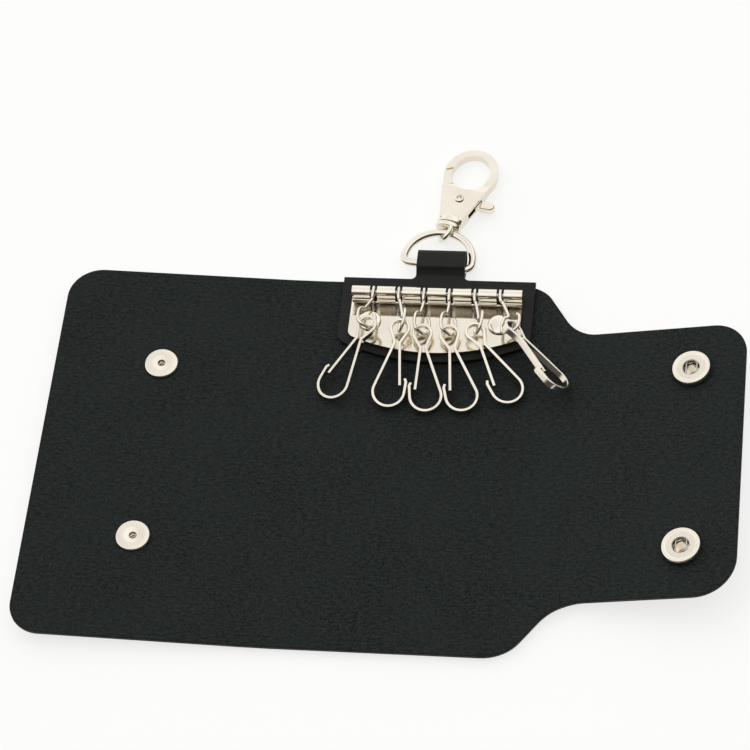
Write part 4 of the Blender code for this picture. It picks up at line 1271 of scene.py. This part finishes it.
def tangent_turn(point, centre, radius, side):
    """Where on a circle the straight line from a point touches it."""
    away = Vector(point) - Vector(centre)
    return atan2(away.y, away.x) + side * acos(radius / away.length)


def clip_path(facing):
    """The bent centre line of a key clip, its eye's centre at the origin."""
    bow_radius = plate().clip_bow
    bow = Vector((0, -CLIP_BOW_DROP))
    hook_end = Vector((-bow_radius, -CLIP_END_DROP))
    gate_end = Vector((-bow_radius + CLIP_GATE_INSET, -CLIP_GATE_DROP))
    neck_left = Vector((-CLIP_NECK_HALF, -CLIP_NECK_DROP))
    neck_right = Vector((CLIP_NECK_HALF, -CLIP_NECK_DROP))
    eye_left = tangent_turn(neck_left, (0, 0), CLIP_EYE, -1)
    eye_right = tangent_turn(neck_right, (0, 0), CLIP_EYE, 1)
    bow_right = tangent_turn(neck_right, bow, bow_radius, -1)
    eye = arc((0, 0), CLIP_EYE, eye_left % (2 * pi), (eye_right % (2 * pi)) - 2 * pi)
    lower = arc(bow, bow_radius, bow_right, -pi, radians(5))
    lip = hook_end + Vector((CLIP_LIP_INSET, CLIP_LIP_RISE))
    path = [gate_end, neck_left] + eye + [neck_right] + lower + [hook_end, lip]
    return [Vector((facing * p.x, p.y)) for p in path]


def eye_drop(number):
    """How far a clip's eye reaches past the wire that carries it."""
    return plate().hanger_wire + CLIP_SLACK[number] + plate().clip_ribbon / 2


def clip_slope(number, height):
    """Angle at which a clip leans from its hanger down to the leather."""
    twist = CLIP_TWIST[number]
    reach = CLIP_BOW_DROP + CLIP_EYE - eye_drop(number)
    bow = plate().clip_bow + plate().clip_ribbon / 2
    slope = 0
    for _ in range(6):
        edge = plate().clip_width / 2 * cos(twist) * cos(slope)
        below = bow * hypot(sin(slope), sin(twist) * cos(slope))
        slope = asin((height - GAP - CLIP_LIFT[number] - edge - below) / reach)
    return slope


def clip_local(number):
    """The clip's frame, seen from the case, its link on the hanger at the origin."""
    hang = hanger_local(number)
    lean = HANGER_LEAN[number] * plate().hanger_reach
    slide = CLIP_SHIFT[number]
    turn = HANGER_TWIST[number]
    link = hang @ Vector((lean + slide * cos(turn), -plate().hanger_reach, slide * sin(turn)))
    return (Matrix.Translation(link) @ Matrix.Rotation(CLIP_YAW[number], 4, "Z")
            @ Matrix.Rotation(clip_slope(number, link.z), 4, "X")
            @ Matrix.Rotation(-CLIP_TWIST[number], 4, "Y"))


class KEYHOLDER_OT_clips(bpy.types.Operator):
    """Make the six key clips that hang in the hangers"""

    bl_idname = "keyholder.clips"
    bl_label = "Key Clips"

    def execute(self, context):
        for number in range(HOOKS):
            bm = ribbon(clip_path(CLIP_FACING[number]), plate().clip_ribbon,
                        plate().clip_width, CLIP_EDGE)
            place = clip_local(number) @ shift(0, eye_drop(number) - CLIP_EYE, 0)
            piece(f"clip_wire_{number + 1}", bm, root() @ place, NICKEL,
                  f"key_clip_{number + 1}", f"key_clip_{number + 1}")
        return {"FINISHED"}


# D ring and swivel eye

RING_CORNER = 2.0 * MM
RING_SLIDE = -1.5 * MM
RING_BAR_LINE = 5.1 * MM
RING_TURN = radians(-7.6)
EYE_HALF = 2.75 * MM
EYE_HALF_HEIGHT = 2.3 * MM
FLANGE_RADIUS = 3.8 * MM
FLANGE_HEIGHT = 1.6 * MM
SHANK = 0.95 * MM
SHANK_EDGE = 0.1 * MM
SHANK_HEAD = 1.4 * MM
SHANK_HEAD_HEIGHT = 0.9 * MM
COLLAR_FLOOR = 0.9 * MM
COLLAR_RADIUS = 3.8 * MM
COLLAR_FLAT = 2.6 * MM        # half the thickness of the oval collar and flange
SWIVEL_TWIST = radians(56.0)
HOOK_LEAN = radians(-6.3)
BOW_LINE = 19.7 * MM


def swivel_height():
    """Height of the ring's crown above the inner face, with the eye resting on the table."""
    return (EYE_HALF + hook().eye_wire) * sin(SWIVEL_TWIST) + GAP - CAP_DROP


def ring_local():
    """The ring's frame: the middle of its bar in the strap's loop."""
    link = Vector((PLATE_SHIFT, patch_edge() + RING_BAR_LINE, (patch_top() + GAP) / 2))
    rise = asin((swivel_height() - link.z) / hook().ring_height)
    return (Matrix.Translation(link) @ Matrix.Rotation(RING_TURN, 4, "Z")
            @ Matrix.Rotation(rise, 4, "X"))


def eye_crown():
    """Top of the swivel eye's loop, past the ring's crown."""
    return 2 * EYE_HALF_HEIGHT - hook().ring_wire - hook().eye_wire - 1.5 * RUN


def collar_base():
    """Where the hook's collar begins, past the ring's crown."""
    return hook().ring_wire + RUN + FLANGE_HEIGHT + GAP


def eye_local():
    """The swivel eye's frame: on the ring's crown, along the hook."""
    place = ring_local() @ Vector((RING_SLIDE, hook().ring_height, 0))
    rise = swivel_height() + CAP_DROP - hook().hook_thick / 2
    slope = asin(rise / (BOW_LINE + collar_base()))
    return (Matrix.Translation(place) @ Matrix.Rotation(RING_TURN + HOOK_LEAN, 4, "Z")
            @ Matrix.Rotation(-slope, 4, "X"))


def ring_path():
    """The D: a crown, two corners and a straight bar."""
    half = hook().ring_half
    side = half - RING_CORNER
    path = arc((0, RING_CORNER), half, 0, pi, FINE_TURN,
               (hook().ring_height - RING_CORNER) / half)
    path += arc((-side, RING_CORNER), RING_CORNER, pi, 3 * pi / 2, radians(10))[1:]
    path += [Vector((-side + 2 * side * i / 6, 0)) for i in range(1, 6)]
    path += arc((side, RING_CORNER), RING_CORNER, -pi / 2, 0, radians(10))[:-1]
    return [Vector((p.x + RING_SLIDE, p.y, 0)) for p in path]


def oval_disc(radius, low, high, edge):
    """A rounded oval disc along Y, such as the hook's collar."""
    line = soft_profile([(0, low), (radius, low), (radius, high), (0, high)], edge, 4)
    flat = Matrix.Diagonal((1, 1, COLLAR_FLAT / COLLAR_RADIUS, 1))
    return placed(turned(line, 64), flat @ UPRIGHT)


class KEYHOLDER_OT_ring(bpy.types.Operator):
    """Make the D ring in the strap and the swivel eye on it"""

    bl_idname = "keyholder.ring"
    bl_label = "Ring and Swivel Eye"

    def execute(self, context):
        sizes = context.scene.key_hook
        piece("ring", wire(ring_path(), sizes.ring_wire, 20, closed=True), root() @ ring_local(),
              NICKEL, "d_ring", "d_ring", angle=60)
        across = Vector((cos(SWIVEL_TWIST), 0, sin(SWIVEL_TWIST)))
        centre = eye_crown() - EYE_HALF_HEIGHT
        path = [across * (EYE_HALF * cos(t)) + Vector((0, centre + EYE_HALF_HEIGHT * sin(t), 0))
                for t in (2 * pi * i / 48 for i in range(48))]
        work = block("eye", wire(path, sizes.eye_wire, 18, closed=True))
        low = centre + EYE_HALF_HEIGHT - sizes.eye_wire / 2
        seat = collar_base() + COLLAR_FLOOR + RUN
        top = seat + SHANK_HEAD_HEIGHT
        stem = soft_profile([(0, low), (SHANK, low), (SHANK, seat), (SHANK_HEAD, seat),
                             (SHANK_HEAD, top), (0, top)], SHANK_EDGE)
        cut(work, placed(turned(stem, 32), UPRIGHT), "UNION")
        low = sizes.ring_wire + RUN
        cut(work, oval_disc(FLANGE_RADIUS, low, low + FLANGE_HEIGHT, FLANGE_HEIGHT / 3), "UNION")
        applied(work)
        finished(shaded(work), root() @ eye_local(), NICKEL, "swivel_eye", "swivel_eye")
        return {"FINISHED"}


# Trigger hook

COLLAR_HEIGHT = 2.3 * MM
NECK_HALF = 3.5 * MM
CHEEK_HALF = 5.9 * MM
CHEEK_LINE = 10.0 * MM
HOLE_HALF = 5.6 * MM
HOLE_HEIGHT = 6.9 * MM
NOSE_ANGLE = radians(172.0)
NOSE_SLANT = radians(11.0)
NOSE_GAP = radians(4.5)
SHOULDER_ANGLE = radians(233.0)
GATE_SIDE_ANGLE = radians(194.0)
GATE_FOOT_SHARE = 0.50        # of the straight left side, down to the cheek
SHOULDER_SHARE = 0.57
TAPER_START = 11.5 * MM
TAPER_END = 16.5 * MM
TAPER_STEPS = 10
CHEEK_SLOT = 1.7 * MM
PIN_LINE = 9.0 * MM
PIN_RADIUS = 0.85 * MM
LEVER_THICK = 1.1 * MM
LEVER_HUB = 2.2 * MM
LEVER_UNDER = (radians(215), radians(325))     # where the hub's round lower side runs
ARM_ROOT = Vector((-0.75, 0.95)) * LEVER_HUB    # where the gate's arm leaves the hub
ARM_HEEL = Vector((0.9, 0.5)) * LEVER_HUB       # where the thumb's arm leaves it
LEVER_REACH = 9.4 * MM
GATE_SHORT = radians(6)       # how far the gate ends before the shoulder
LEVER_ANGLE = radians(2.0)
THUMB_THICK = 2.8 * MM
THUMB_LENGTH = 2.9 * MM
GATE_THICK = 2.4 * MM
COIL_RADIUS = 0.55 * MM
COIL_WIRE = 0.12 * MM
COIL_LENGTH = 1.4 * MM
COIL_LINE = 0.55              # below the hub's middle, as a share of its radius
COIL_STEPS = 64
COIL_LOOPS = 4
BOW_START = radians(-28.0)
GATE_EDGE = 0.7 * MM
THUMB_EDGE = 0.6 * MM
PIN_EDGE = 0.06 * MM
PIN_HEAD = 1.35 * MM
PIN_HEAD_HEIGHT = 0.3 * MM
PIN_CUP = ((1.35, -0.15), (1.05, 0), (0.8, 0), (0.7, -0.3), (0.6, -0.9), (0, -1.0))


def bow_point(half, height, angle):
    """A point of an oval round the bow's centre."""
    return Vector((half * cos(angle), BOW_LINE + height * sin(angle)))


def bow_arc(half, height, start, end, steps):
    """Part of such an oval."""
    return [bow_point(half, height, start + (end - start) * i / steps) for i in range(steps + 1)]


def left_side(share):
    """A point on the straight left side, from the bow down to the cheek's corner."""
    start = bow_point(hook().bow_half, hook().bow_height, GATE_SIDE_ANGLE)
    return start.lerp(Vector((-CHEEK_HALF, CHEEK_LINE)), share)


def hook_section():
    """Side view of the hook: thick cheeks that thin softly to the bow, along and up."""
    end = BOW_LINE + hook().bow_height + OVER
    thick = hook().hook_thick / 2 + OVER / 5
    thin = hook().bow_thick / 2
    slope = [Vector((TAPER_END + (TAPER_START - TAPER_END) * share,
                     thin + (thick - thin) * soft_step(share)))
             for share in (i / TAPER_STEPS for i in range(TAPER_STEPS + 1))]
    upper = [Vector((end, thin))] + slope + [Vector((-OVER, thick))]
    return upper + [Vector((p.x, -p.y)) for p in reversed(upper)]


def hook_outline():
    """The hook's body and bow, open on the left where the gate closes it."""
    sizes = hook()
    outer = bow_arc(sizes.bow_half, sizes.bow_height, BOW_START, NOSE_ANGLE + NOSE_SLANT, 48)
    inner = bow_arc(HOLE_HALF, HOLE_HEIGHT, NOSE_ANGLE, SHOULDER_ANGLE - 2 * pi, 60)
    shoulder = left_side(SHOULDER_SHARE)
    base = COLLAR_HEIGHT / 2
    left = [shoulder, Vector((-CHEEK_HALF, CHEEK_LINE)), Vector((-NECK_HALF, base))]
    right = [Vector((NECK_HALF, base)), Vector((CHEEK_HALF, CHEEK_LINE))]
    return left + right + outer + inner


def lever_slot():
    """Plan of the slot between the cheeks, where the trigger and its spring lie."""
    hub = LEVER_HUB + RUN
    out = hook().bow_half + OVER
    pocket = LEVER_HUB + COIL_LENGTH + 2.5 * RUN
    return rounded([
        (-out, PIN_LINE + hub * 1.2, 0),
        (-pocket, PIN_LINE, 0),
        (-pocket, PIN_LINE - hub, hub / 5),
        (0, PIN_LINE - hub * 1.25, hub / 2),
        (out, COLLAR_HEIGHT + hub / 5, 0),
        (out, PIN_LINE + hub * 0.8, 0),
        (hub / 2, PIN_LINE + hub, hub / 2),
        (-hub, BOW_LINE, 0),
        (-out, BOW_LINE, 0),
    ])


def hook_local():
    return eye_local() @ shift(0, collar_base(), 0)


def hook_body():
    """The cast body: bow, two cheeks with a slot between them, neck and collar."""
    sizes = hook()
    work = block("hook_body", slab(hook_outline(), sizes.hook_thick))
    cut(work, placed(slab(hook_section(), 2 * (sizes.bow_half + OVER)), STAND), "INTERSECT")
    applied(work)
    soften(work, sizes.hook_edge, 5, 30)
    cut(work, oval_disc(COLLAR_RADIUS, 0, COLLAR_HEIGHT, COLLAR_HEIGHT / 4), "UNION")
    cut(work, slab(lever_slot(), CHEEK_SLOT))
    bore = SHANK + RUN
    room = SHANK_HEAD + RUN
    top = COLLAR_FLOOR + 2 * RUN + SHANK_HEAD_HEIGHT
    well = [(0, -OVER), (bore, -OVER), (bore, COLLAR_FLOOR), (room, COLLAR_FLOOR), (room, top),
            (0, top)]
    cut(work, placed(turned(well, 32), UPRIGHT))
    hole = cylinder(PIN_RADIUS + GAP, -sizes.hook_thick, sizes.hook_thick, 32)
    cut(work, placed(hole, shift(0, PIN_LINE, 0)))
    return applied(work)


def trigger_lever():
    """The rocking trigger: gate, thin web between the cheeks and thumb piece."""
    sizes = hook()
    half = sizes.lever_half
    tip = Vector((cos(LEVER_ANGLE), sin(LEVER_ANGLE))) * LEVER_REACH
    across = Vector((-sin(LEVER_ANGLE), cos(LEVER_ANGLE))) * half
    start = NOSE_ANGLE + NOSE_GAP
    outer = bow_arc(sizes.bow_half, sizes.bow_height, start + NOSE_SLANT, GATE_SIDE_ANGLE, 6)
    inner = bow_arc(HOLE_HALF, HOLE_HEIGHT, start, SHOULDER_ANGLE - GATE_SHORT, 18)
    lift = Vector((0, PIN_LINE))
    outer = [p - lift for p in outer + [left_side(GATE_FOOT_SHARE)]]
    inner = [p - lift for p in reversed(inner)]
    hub = arc((0, 0), LEVER_HUB, *LEVER_UNDER)
    web = outer[6:] + [Vector((-LEVER_HUB, 0))] + hub
    web += [tip - across, tip + across, ARM_HEEL, Vector((0, LEVER_HUB)), ARM_ROOT, inner[0],
            inner[len(inner) // 2]]
    work = block("lever", slab(web, LEVER_THICK))
    gate = block("gate", slab(outer + inner, GATE_THICK))
    soften(gate, GATE_EDGE, 4, 30)
    cut(work, applied(gate), "UNION")
    back = tip - unit(tip) * THUMB_LENGTH
    turn_end = arc(tip, half, LEVER_ANGLE - pi / 2, LEVER_ANGLE + pi / 2)
    outline = [back - across] + turn_end + [back + across]
    thumb = block("thumb", slab(outline, THUMB_THICK))
    soften(thumb, THUMB_EDGE, 4, 30)
    cut(work, applied(thumb), "UNION")
    cut(work, cylinder(PIN_RADIUS + GAP, -LEVER_THICK, LEVER_THICK, 32))
    return applied(work)


def pin_profile():
    """The lever's pin: a hollow rivet with its cup above."""
    half = hook().hook_thick / 2 + GAP
    top = half + PIN_HEAD_HEIGHT
    line = [(0, -top), (PIN_HEAD, -top), (PIN_HEAD, -half), (PIN_RADIUS, -half),
            (PIN_RADIUS, half), (PIN_HEAD, half)]
    return soft_profile(line + section(top, PIN_CUP), PIN_EDGE)


def coil_path():
    """The lever's spring, across the slot beside the lever's hub."""
    left = -LEVER_HUB - COIL_LENGTH - RUN
    middle = PIN_LINE - LEVER_HUB * COIL_LINE
    turn = 2 * pi * COIL_LOOPS / COIL_STEPS
    return [Vector((left + COIL_LENGTH * i / COIL_STEPS, middle + COIL_RADIUS * cos(turn * i),
                    COIL_RADIUS * sin(turn * i))) for i in range(COIL_STEPS + 1)]


class KEYHOLDER_OT_hook(bpy.types.Operator):
    """Make the trigger hook with its lever, pin and spring"""

    bl_idname = "keyholder.hook"
    bl_label = "Trigger Hook"

    def execute(self, context):
        place = root() @ hook_local()
        pivot = place @ shift(0, PIN_LINE, 0)
        finished(shaded(hook_body()), place, NICKEL, "trigger_hook", "trigger_hook")
        finished(shaded(trigger_lever()), pivot, NICKEL, "trigger", "trigger")
        piece("lever_pin", turned(pin_profile(), 32), pivot, PLATED_PIN, "trigger_hook",
              "trigger_pin")
        piece("lever_spring", wire(coil_path(), COIL_WIRE, 8), place, STEEL, "trigger_hook",
              "trigger_spring", angle=60)
        return {"FINISHED"}


# Snap fasteners

# Sections as (radius, height) in millimetres, from the hide's face outwards
POST_SHANK = (1.1, 1.75)
POST_SECTION = ((1.75, 0), (4.75, 0), (4.95, 0.2), (4.6, 0.5), (3.6, 0.6), (2.6, 0.6),
                (2.0, 0.48), (1.1, 0.35))
STUD_SECTION = ((0.8, 0), (0.8, -2.3), (0, -2.3), (0, -2.7), (1.3, -2.7), (1.85, -2.45),
                (1.85, -2.34), (1.2, -2.15), (1.2, -0.6), (4.4, -0.6), (4.4, -0.2), (4.2, 0))
SOCKET_FOOT = ((2.35, 0), (5.1, 0), (5.55, 0.45), (5.55, 1.225))
SOCKET_RIM = (4.95 * MM, 1.3 * MM)      # the centre of the rolled rim
SOCKET_RIM_RADIUS = 0.6 * MM
SOCKET_ROLL = radians(144)              # how far the rim is rolled inwards
SOCKET_WELL = ((4.1, 1.575), (3.0, 1.655), (2.55, 1.615), (2.35, 1.425), (2.35, 1.45),
               (3.7, 1.45), (3.7, 0.45), (2.35, 0.45))
GRIP_LEVEL = 0.95 * MM
GRIP_SIDE = 1.55 * MM
GRIP_REACH = 2.9 * MM
GRIP_FOOT = 0.9             # share of the reach down to the ends of the legs
GRIP_WIRE = 0.25 * MM
CAP_RIM = 5.2 * MM
CAP_HEIGHT = 1.3 * MM
CAP_DOME = 0.42 * MM
CAP_SHOULDER = 0.94         # share of the rim's radius where the dome ends
CAP_STEPS = 10
CAP_SIDE = ((5.2, -0.45), (5.08, -0.15), (4.75, 0), (2.7, 0))
CAP_TUBE = (2.7 * MM, 2.25 * MM)
CAP_CROWN = 0.45 * MM


def post_profile():
    """Flanged post whose hollow shank passes through the leather."""
    foot = section(-case().thickness, [(radius, 0) for radius in POST_SHANK])
    return soft_profile(foot + section(GAP, POST_SECTION), PRESSED_EDGE)


def stud_profile():
    """The stud on the outer face: a base ring, a narrow neck and a rounded head."""
    return soft_profile(section(outer_level(), STUD_SECTION), TURNED_EDGE)


def socket_profile():
    """The socket on the flap: rolled rim, mouth and a cell for the spring."""
    across, up = SOCKET_RIM
    rim = arc((across, GAP + up), SOCKET_RIM_RADIUS, 0, SOCKET_ROLL, radians(15))
    return section(GAP, SOCKET_FOOT) + [(p.x, p.y) for p in rim] + section(GAP, SOCKET_WELL)


def snap_spring_path():
    """The bent wire that grips the stud: two legs joined round one end."""
    bend = arc((0, GRIP_REACH - GRIP_SIDE), GRIP_SIDE, 0, pi, radians(12))
    foot = -GRIP_REACH * GRIP_FOOT
    flat = [Vector((GRIP_SIDE, foot))] + bend + [Vector((-GRIP_SIDE, foot))]
    return [Vector((p.x, p.y, GAP + GRIP_LEVEL)) for p in flat]


def snap_cap_profile():
    """The domed cap on the outer face, with a tube up into the leather."""
    top = outer_level()
    tube, bore = CAP_TUBE
    dome = [(CAP_RIM * sin(t) * CAP_SHOULDER, top - CAP_HEIGHT + CAP_DOME * (1 - cos(t)))
            for t in (pi / 2 * i / CAP_STEPS for i in range(CAP_STEPS + 1))]
    return dome + section(top, CAP_SIDE) + [(tube, -GAP), (bore, -GAP), (bore, top - CAP_CROWN),
                                            (0, top - CAP_CROWN)]


class KEYHOLDER_OT_snaps(bpy.types.Operator):
    """Make the posts and studs of the left panel and the sockets and caps of the flap"""

    bl_idname = "keyholder.snaps"
    bl_label = "Snap Fasteners"

    def execute(self, context):
        sizes = context.scene.key_case
        left = -sizes.centre_width / 2 - sizes.snap_reach
        right = sizes.centre_width * 1.5 - sizes.snap_reach
        for side, name in ((1, "upper"), (-1, "lower")):
            up = side * sizes.snap_spacing / 2
            on_left = left_frame() @ shift(left, up, 0)
            on_flap = flap_frame() @ shift(right, up, 0)
            piece(f"post_{name}", turned(post_profile()), on_left, NICKEL, "left_panel",
                  f"snap_post_{name}")
            piece(f"stud_{name}", turned(stud_profile()), on_left, NICKEL, "left_panel",
                  f"snap_stud_{name}")
            piece(f"socket_{name}", turned(socket_profile()), on_flap, NICKEL, "right_flap",
                  f"snap_socket_{name}")
            piece(f"snap_wire_{name}", wire(snap_spring_path(), GRIP_WIRE, 12), on_flap, STEEL,
                  "right_flap", f"socket_spring_{name}", angle=60)
            piece(f"cap_{name}", turned(snap_cap_profile()), on_flap, NICKEL, "right_flap",
                  f"snap_cap_{name}")
        return {"FINISHED"}


# Table, lamps and camera

CAMERA_PLACE = (112.534 * MM, -469.617 * MM, 762.549 * MM)
CAMERA_RIGHT = (0.98985972, 0.10315808, -0.09765319)
CAMERA_UP = (-0.0326211, 0.83417437, 0.55053518)
CAMERA_LENS = 153.62
CAMERA_SENSOR = 36
CAMERA_RANGE = (0.01, 20)
TABLE_HALF = 3.0
BACKDROP = (0.985, 0.985, 0.97)
LIGHT_SIDE = (-0.35, 0.45, 0.82)       # where the room is brightest: left, behind and above
# The room's light from the far side to the bright side: place, light and warmth
LIGHT_BANDS = ((0.0, 0.08, 0.80), (0.14, 0.08, 0.78), (0.24, 0.16, 0.82), (0.35, 0.78, 0.96),
               (0.62, 1.22, 1.0), (0.90, 1.12, 1.0), (1.0, 0.93, 0.99))
# Each lamp: name, place, width and power
LAMPS = (("key_lamp", (-0.55, 0.75, 1.25), 1.2, 4.4), ("fill_lamp", (0.9, -0.1, 1.2), 0.9, 2.0))


def room_light():
    """A world that is bright on one side, and plain where the camera sees it."""
    world = bpy.data.worlds.new("studio")
    world.use_nodes = True
    sky = Nodes(world.node_tree)
    facing = sky.node("ShaderNodeVectorMath", operation="DOT_PRODUCT")
    facing.inputs[1].default_value = LIGHT_SIDE
    sky.link(sky.node("ShaderNodeTexCoord").outputs["Generated"], facing.inputs[0])
    level = sky.node("ShaderNodeValToRGB")
    sky.link(facing.outputs["Value"], level.inputs[0])
    bands = level.color_ramp
    for number, (place, light, warmth) in enumerate(LIGHT_BANDS):
        stop = bands.elements[number] if number < 2 else bands.elements.new(place)
        stop.position = place
        stop.color = (light, light * (1 + warmth) / 2, light * warmth, 1)
    seen = sky.node("ShaderNodeLightPath").outputs["Is Camera Ray"]
    background = sky.tree.nodes["Background"]
    sky.link(sky.blend(seen, level.outputs["Color"], BACKDROP), background.inputs["Color"])
    return world


def soft_lamp(name, place, width, power):
    """A square lamp aimed at the middle of the table and left out of reflections."""
    lamp = bpy.data.lights.new(name, "AREA")
    lamp.shape = "SQUARE"
    lamp.size = width
    lamp.energy = power
    light = bpy.data.objects.new(name, lamp)
    light.location = place
    light.rotation_euler = (-Vector(place)).to_track_quat("-Z", "Y").to_euler()
    light.visible_glossy = False
    return light


def camera_view():
    """The camera, in the place that was fitted to the photograph."""
    camera = bpy.data.cameras.new("camera")
    camera.lens = CAMERA_LENS
    camera.sensor_width = CAMERA_SENSOR
    camera.sensor_fit = "HORIZONTAL"
    camera.clip_start, camera.clip_end = CAMERA_RANGE
    right, up = Vector(CAMERA_RIGHT), Vector(CAMERA_UP)
    turn = Matrix((right, up, right.cross(up))).transposed().to_4x4()
    view = bpy.data.objects.new("camera", camera)
    view.matrix_world = root() @ Matrix.Translation(CAMERA_PLACE) @ turn
    return view


class KEYHOLDER_OT_studio(bpy.types.Operator):
    """Make the pale table, the soft lamps, the world light and the camera"""

    bl_idname = "keyholder.studio"
    bl_label = "Studio"

    def execute(self, context):
        scene = context.scene
        bm = bmesh.new()
        bmesh.ops.create_grid(bm, x_segments=4, y_segments=4, size=TABLE_HALF)
        table = block("table", bm)
        table.data.materials.append(finish_named("table_top"))
        scene.world = room_light()
        scene.view_settings.view_transform = "Standard"
        scene.camera = camera_view()
        for item in [soft_lamp(*lamp) for lamp in LAMPS] + [scene.camera]:
            context.collection.objects.link(item)
        return {"FINISHED"}


# Panel and registration

class KEYHOLDER_PT_panel(bpy.types.Panel):
    """Sizes, colours and steps of the key holder"""

    bl_label = "Key Holder"
    bl_idname = "KEYHOLDER_PT_panel"
    bl_space_type = "VIEW_3D"
    bl_region_type = "UI"
    bl_category = "Key Holder"

    def draw(self, context):
        for group in (context.scene.key_case, context.scene.key_plate, context.scene.key_hook,
                      context.scene.key_finishes):
            column = self.layout.box().column()
            for name in group.__annotations__:
                column.prop(group, name)
        column = self.layout.column(align=True)
        for step in STEPS:
            column.operator(step.bl_idname)


GROUPS = {"key_case": KeyCaseSizes, "key_plate": KeyPlateSizes, "key_hook": KeyHookSizes,
          "key_finishes": KeyHolderFinishes}
STEPS = (KEYHOLDER_OT_studio, KEYHOLDER_OT_case, KEYHOLDER_OT_strap, KEYHOLDER_OT_plate,
         KEYHOLDER_OT_hangers, KEYHOLDER_OT_clips, KEYHOLDER_OT_ring, KEYHOLDER_OT_hook,
         KEYHOLDER_OT_snaps)


def register():
    for item in (*GROUPS.values(), *STEPS, KEYHOLDER_PT_panel):
        bpy.utils.register_class(item)
    for name, group in GROUPS.items():
        setattr(bpy.types.Scene, name, PointerProperty(type=group))


def unregister():
    for name in GROUPS:
        delattr(bpy.types.Scene, name)
    for item in (KEYHOLDER_PT_panel, *reversed(STEPS), *GROUPS.values()):
        bpy.utils.unregister_class(item)


def main():
    register()
    bpy.ops.keyholder.studio()
    bpy.ops.keyholder.case()
    bpy.ops.keyholder.strap()
    bpy.ops.keyholder.plate()
    bpy.ops.keyholder.hangers()
    bpy.ops.keyholder.clips()
    bpy.ops.keyholder.ring()
    bpy.ops.keyholder.hook()
    bpy.ops.keyholder.snaps()


if __name__ == "__main__":
    main()
